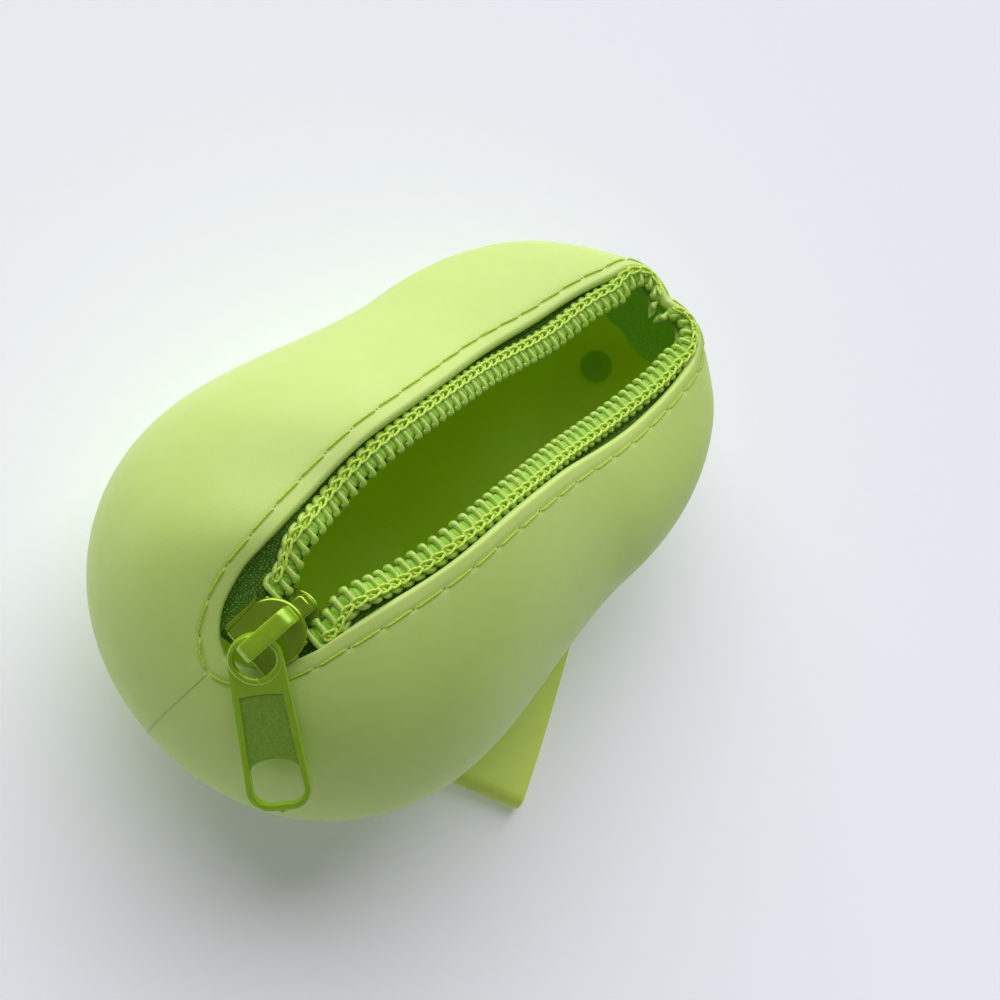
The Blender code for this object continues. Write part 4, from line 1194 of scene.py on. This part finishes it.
def puller(paint, grained):
    place = puller_place()
    reach = (Vector(PULLER_TIP) - Vector(PULLER_EYE)).length
    half = PULLER_THICKNESS / 2
    outline = tab_outline(0.0, 0.0, reach) + [p for p in circle(PULLER_EYE_RADIUS) if p[0] < -PULLER_EDGE]
    body = Parts()
    soft_prism(body, outline, -half, half, PULLER_EDGE, place, steps=2)
    made = body.piece("puller_casting", [paint], 40)
    window_start = reach - PULLER_RIM - WINDOW_LENGTH
    slope = (PULLER_END_WIDTH / 2 - PULLER_EYE_RADIUS) / reach
    side = PULLER_EYE_RADIUS - PULLER_RIM
    window = tab_outline(PULLER_RIM, window_start, reach)
    window_half = window[-1][1]
    arch = arc(0.0, 0.0, 1.0, 0, 180, 24)[1:-1]
    window += [(window_start - WINDOW_ARCH * y, window_half * x) for x, y in arch]
    spreads = [1 - k / 8 for k in range(17)]
    panel = [(PANEL_START + PANEL_BOW * spread ** 2, side * spread) for spread in spreads]
    panel_end = window_start + PANEL_OVERRUN
    panel += [(panel_end, -side - slope * panel_end), (panel_end, side + slope * panel_end)]
    low = half - PANEL_DEPTH
    cut = PULLER_THICKNESS
    for name, shape, start in (("eye_cut", circle(PULLER_EYE_HOLE), -cut), ("window_cut", window, -cut),
                               ("panel_cut", panel, low)):
        tool = Parts()
        tool.add([placed(place, shape, z) for z in (start, cut)])
        other = tool.piece(name, [paint])
        change = made.modifiers.new(name, "BOOLEAN")
        change.operation = "DIFFERENCE"
        change.object = other
        bpy.context.view_layer.objects.active = made
        bpy.ops.object.modifier_apply(modifier=name)
        bpy.data.objects.remove(other)
    made.data.shade_smooth()
    soft = made.modifiers.new("edges", "BEVEL")
    soft.width = PULLER_BEVEL
    soft.segments = 3
    soft.limit_method = "ANGLE"
    soft.angle_limit = radians(40)
    soft.harden_normals = True
    attach(made, "puller", "paint", "puller")
    trim = Parts()
    middle = (PULLER_EYE_HOLE + PULLER_EYE_RADIUS) / 2
    ring, sizes = [], []
    for x, y in arc(0.0, 0.0, 1.0, 0, 360, 72):
        worn = smooth_step(*TRIM_WORN, x)
        radius = middle - TRIM_SHIFT * worn
        ring.append(place @ Vector((radius * x, radius * y, half - TRIM_SINK * worn)))
        sizes.append(TRIM_RADIUS + TRIM_GROWTH * worn)
    trim.add(tube(ring, sizes, 12, 1.0, 0.7, place.to_3x3() @ Vector((0, 0, 1))))
    nub = [place @ Vector((reach + x, 0.0, 0.0)) for x, _ in PULLER_NUB]
    trim.add(tube(nub, [size for _, size in PULLER_NUB], 12))
    attach(trim.piece("puller_trim", [paint]), "puller", "paint")
    ground = Parts()
    near_margin, side_margin, far_margin = PANEL_MARGINS
    side -= side_margin
    far_half = side + slope * window_start
    for k in range(PANEL_STRIPS):
        edges = []
        for spread in (2 * k / PANEL_STRIPS - 1, 2 * (k + 1) / PANEL_STRIPS - 1):
            near = PANEL_START + near_margin + PANEL_BOW * spread ** 2
            bow = sqrt(max(1 - (far_half * spread / window_half) ** 2, 0.0))
            far = window_start - far_margin - WINDOW_ARCH * bow
            edges.append([(x, (side + slope * x) * spread) for x in (near, far)])
        (a, b), (d, c) = edges
        ground.add([placed(place, (a, b, c, d), z) for z in (low + lift for lift in PANEL_SHEET)])
    attach(ground.piece("puller_panel", [grained], 40), "puller", "paint")


# Strap and stud

STRAP_EDGE = 0.0004
STRAP_STATIONS = 90
STRAP_BEND_STEPS = 24
STRAP_PLAN_STEPS = 160
STUD_BREAK = 0.0001
STUD_CAP_SHARE = 0.3


def under_shell(x):
    tail = OUTLINE.at(1.0)
    share = min(max((x - SPINE_FAR_X) / (tail.x - SPINE_FAR_X), 0.0), 1.0)
    low = sole_height(max(x, SPINE_NEAR_X)) if x < SPINE_FAR_X else TAIL_LIFT
    return tail.z - (tail.z - low) * sqrt(1 - share ** 2)


def strap_plan():
    tip, stud = Vector(STRAP_TIP), Vector((STUD_X, 0.0))
    heading = Vector((cos(STRAP_TIP_HEADING), sin(STRAP_TIP_HEADING)))
    handle = tip + heading * (stud - tip).length / 2
    line = []
    for step in range(STRAP_PLAN_STEPS + 1):
        t = step / STRAP_PLAN_STEPS
        line.append(tip * (1 - t) ** 2 + handle * 2 * t * (1 - t) + stud * t ** 2)
    line.append(stud + (stud - handle).normalized() * STRAP_END_TAB)
    return EvenCurve([Vector((p.x, p.y, 0.0)) for p in line])


def stack_top(x):
    lift = smooth_step(STRAP_LIFT_START_X, STRAP_LIFT_END_X, x)
    return max(STACK + (under_shell(x) - STRAP_CLEARANCE - STACK) * lift, STACK)


def strap(look):
    plan = strap_plan()
    fold = (STACK - STRAP_THICKNESS) / 2 / plan.length
    half, wide = STRAP_THICKNESS / 2, STRAP_WIDTH / 2
    shares = [fold + (1 - fold) * step / STRAP_STATIONS for step in range(STRAP_STATIONS + 1)]
    path = [(share, half) for share in reversed(shares)]
    for along, rise in arc(0.0, 0.0, 1.0, 0, 180, STRAP_BEND_STEPS)[1:-1]:
        path.append((fold * (1 - rise), half + (STACK - STRAP_THICKNESS) * (1 - along) / 2))
    path += [(share, STACK - half) for share in shares]
    corners = rounded_block(-wide, wide, -half, half, STRAP_EDGE)
    flat = [(-1 + k / 4) * (wide - STRAP_EDGE) for k in range(1, 8)]
    section = (corners[15:] + corners[:5] + [(y, -half) for y in flat]
               + corners[5:15] + [(-y, half) for y in flat])
    rings = []
    for i, (share, depth) in enumerate(path):
        middle = plan.at(share)
        run = (plan.at(share + 0.02) - plan.at(share - 0.02)).normalized()
        across = Vector((-run.y, run.x, 0.0))
        before, after = neighbours(path, i)
        ahead = Vector(((after[0] - before[0]) * plan.length, before[1] - after[1])).normalized()
        up = run * -ahead.y + Vector((0, 0, ahead.x))
        spots = [(middle + across * y, z) for y, z in section]
        rings.append([spot + Vector((0, 0, stack_top(spot.x) - depth)) + up * z for spot, z in spots])
    strip("strap_band", rings, look, "bag", "strap", "wrist_strap", angle=60)


def stud(look):
    here = Vector((STUD_X, 0.0, under_shell(STUD_X)))
    run = Vector((STUD_X + GAP, 0.0, under_shell(STUD_X + GAP))) - here
    out = Vector((run.z, 0.0, -run.x)).normalized()
    across = Vector((0.0, 1.0, 0.0))
    place = Matrix.Translation(here) @ Matrix((across.cross(out), across, out)).transposed().to_4x4()
    profile = []
    for edge, sign in ((-WALL - 2 * GAP, -1), (STRAP_CLEARANCE + STACK + GAP, 1)):
        cap = edge + sign * STUD_HEAD_THICKNESS
        corner = STUD_HEAD_EDGE
        head = [(cap, STUD_CAP_SHARE * STUD_HEAD_RADIUS),
                *arc(cap - sign * corner, STUD_HEAD_RADIUS - corner, corner, 90 - 90 * sign, 90, 6)]
        head += [(edge + sign * STUD_BREAK, STUD_HEAD_RADIUS), (edge, STUD_HEAD_RADIUS - STUD_BREAK),
                 (edge, STUD_STEM_RADIUS)]
        profile += head if sign < 0 else head[::-1]
    rings = [placed(place, circle(radius, 40), z) for z, radius in profile]
    strip("stud_button", rings, look, "bag", "strap", "strap_stud", angle=40)


# Pieces

outside = silicone_look("silicone_outside", (206, 231, 129), (200, 226, 121), 0.42, 0.35)
# Inside silicone: the same silicone as the outside, painted a darker, more saturated green as painted shade
# inside the bag, with a painted glow for light coming through the wall.
inside = silicone_look("silicone_inside_shade_and_glow", (124, 156, 4), (116, 146, 2), 0.65, 0.6,
                       **own_glow((0.52, 1.0, 0.0), 0.09))
# Strap silicone: brighter than the body's silicone, as painted light lifting the strap out of the shade it
# lies in.
strap_painted_light = silicone_look("strap_silicone", (226, 250, 118), (220, 244, 110), 0.4, 0.3)
# Stud: the inside silicone's darker green, as painted shade, with a weaker painted glow.
button = silicone_look("stud_silicone_shade_and_glow", (116, 160, 4), (108, 150, 2), 0.7, 0.5, **own_glow((0.42, 1.0, 0.0), 0.03))
knit = tape_look("knit_tape", (70, 112, 16), (94, 140, 32), (156, 198, 78))
# Tape ends: a lit and shaded copy of the tape's knit colours, flatter and more saturated, with a painted glow
# standing in for light that comes through the far wall.
knit_end_painted_glow = tape_look("knit_tape_end_painted_glow", (96, 146, 16), (114, 168, 26), (140, 192, 56),
                     **own_glow((0.35, 1.0, 0.03), 0.075))
# Tape band: a plain, much lighter copy of the tape's colour for the far turn, as painted light.
band = plain_look("tape_band_painted_light", (178, 214, 92), (164, 202, 76), 0.55)
# Needle holes: darker than the silicone around them, as painted shade in the holes.
hole = plain_look("needle_hole_shade", (138, 170, 44), (118, 150, 30), 0.8)
nylon = nylon_look("coil_nylon", (168, 220, 76), (198, 242, 88), (218, 250, 116))
# Core cord: partly the filler cord's own colour, partly painted light, bright to stand in for light coming
# through the clear coil.
core = thread_look("core_cord", (172, 222, 54), (136, 188, 32))
seam_yarn = thread_look("seam_yarn", (196, 230, 44), (166, 204, 20))
zip_yarn = thread_look("zip_yarn", (222, 250, 90), (192, 230, 56))
paint = paint_look("slider_paint", (160, 194, 34), (152, 186, 28), 0.24, 0.7)
# Puller and bail paint: a brighter, less metallic copy of the slider's paint, as painted light.
puller_paint_painted_light = paint_look("puller_paint_painted_light", (170, 214, 36), (162, 206, 30), 0.28, 0.3)
grained = paint_look("panel_paint", (144, 188, 48), (118, 162, 32), 0.5, 0.2, 2600.0, 2600.0, 0.000128)

shell_skin([outside, inside])
parting_line(outside)
for side, word in ((1, "left"), (-1, "right")):
    seam(side, word, seam_yarn, hole)
    tape(side, word, [knit, band])
    coil(side, word, nylon, core, zip_yarn)
tape_ends(knit_end_painted_glow)
slider(paint)
bail(puller_paint_painted_light)
puller(puller_paint_painted_light, grained)
strap(strap_painted_light)
stud(button)

# Floor, light and camera

FLOOR_REACH = 1.6
floor_look = Look("floor", (243, 245, 252), 0.9, **own_glow((1.0, 1.0, 1.0), 0.10))
floor_look.bump(floor_look.noise(300.0, 2.0), 0.00002, 0.2)
corners = [Vector((x * FLOOR_REACH, y * FLOOR_REACH, 0.0)) for x, y in ((-1, -1), (1, -1), (1, 1), (-1, 1))]
floor = mesh_piece("floor", corners, [(0, 1, 2, 3)], [floor_look.made], smooth=False)

# A broad, far softbox, as light from one direction spread over a wide angle
LAMP_WAY = Vector((0.8, 0.9, 1.0))
lamp = bpy.data.lights.new("key", "SUN")
lamp.angle = radians(84)
lamp.energy = 3.05
key = bpy.data.objects.new("key", lamp)
key.rotation_euler = (-LAMP_WAY).to_track_quat("-Z", "Y").to_euler()
scene.collection.objects.link(key)
world = bpy.data.worlds.new("studio")
world.use_nodes = True
background = world.node_tree.nodes["Background"].inputs
background["Color"].default_value = (0.95, 0.98, 1.08, 1.0)
background["Strength"].default_value = 0.15
scene.world = world

RIGHT = Vector((0.6935, -0.6549, 0.3004))
UP = Vector((0.5844, 0.7551, 0.2970))
AWAY = -Vector((0.4213, 0.0304, -0.9064))
camera_data = bpy.data.cameras.new("camera")
camera_data.lens = 79.2
camera_data.sensor_width = 36.0
camera_data.clip_start = 0.01
camera = bpy.data.objects.new("camera", camera_data)
camera.matrix_world = (Matrix.Translation((-0.12913, -0.01683, 0.3204))
                       @ Matrix((RIGHT, UP, AWAY)).transposed().to_4x4())
scene.collection.objects.link(camera)
scene.camera = camera
scene.view_settings.view_transform = "Standard"
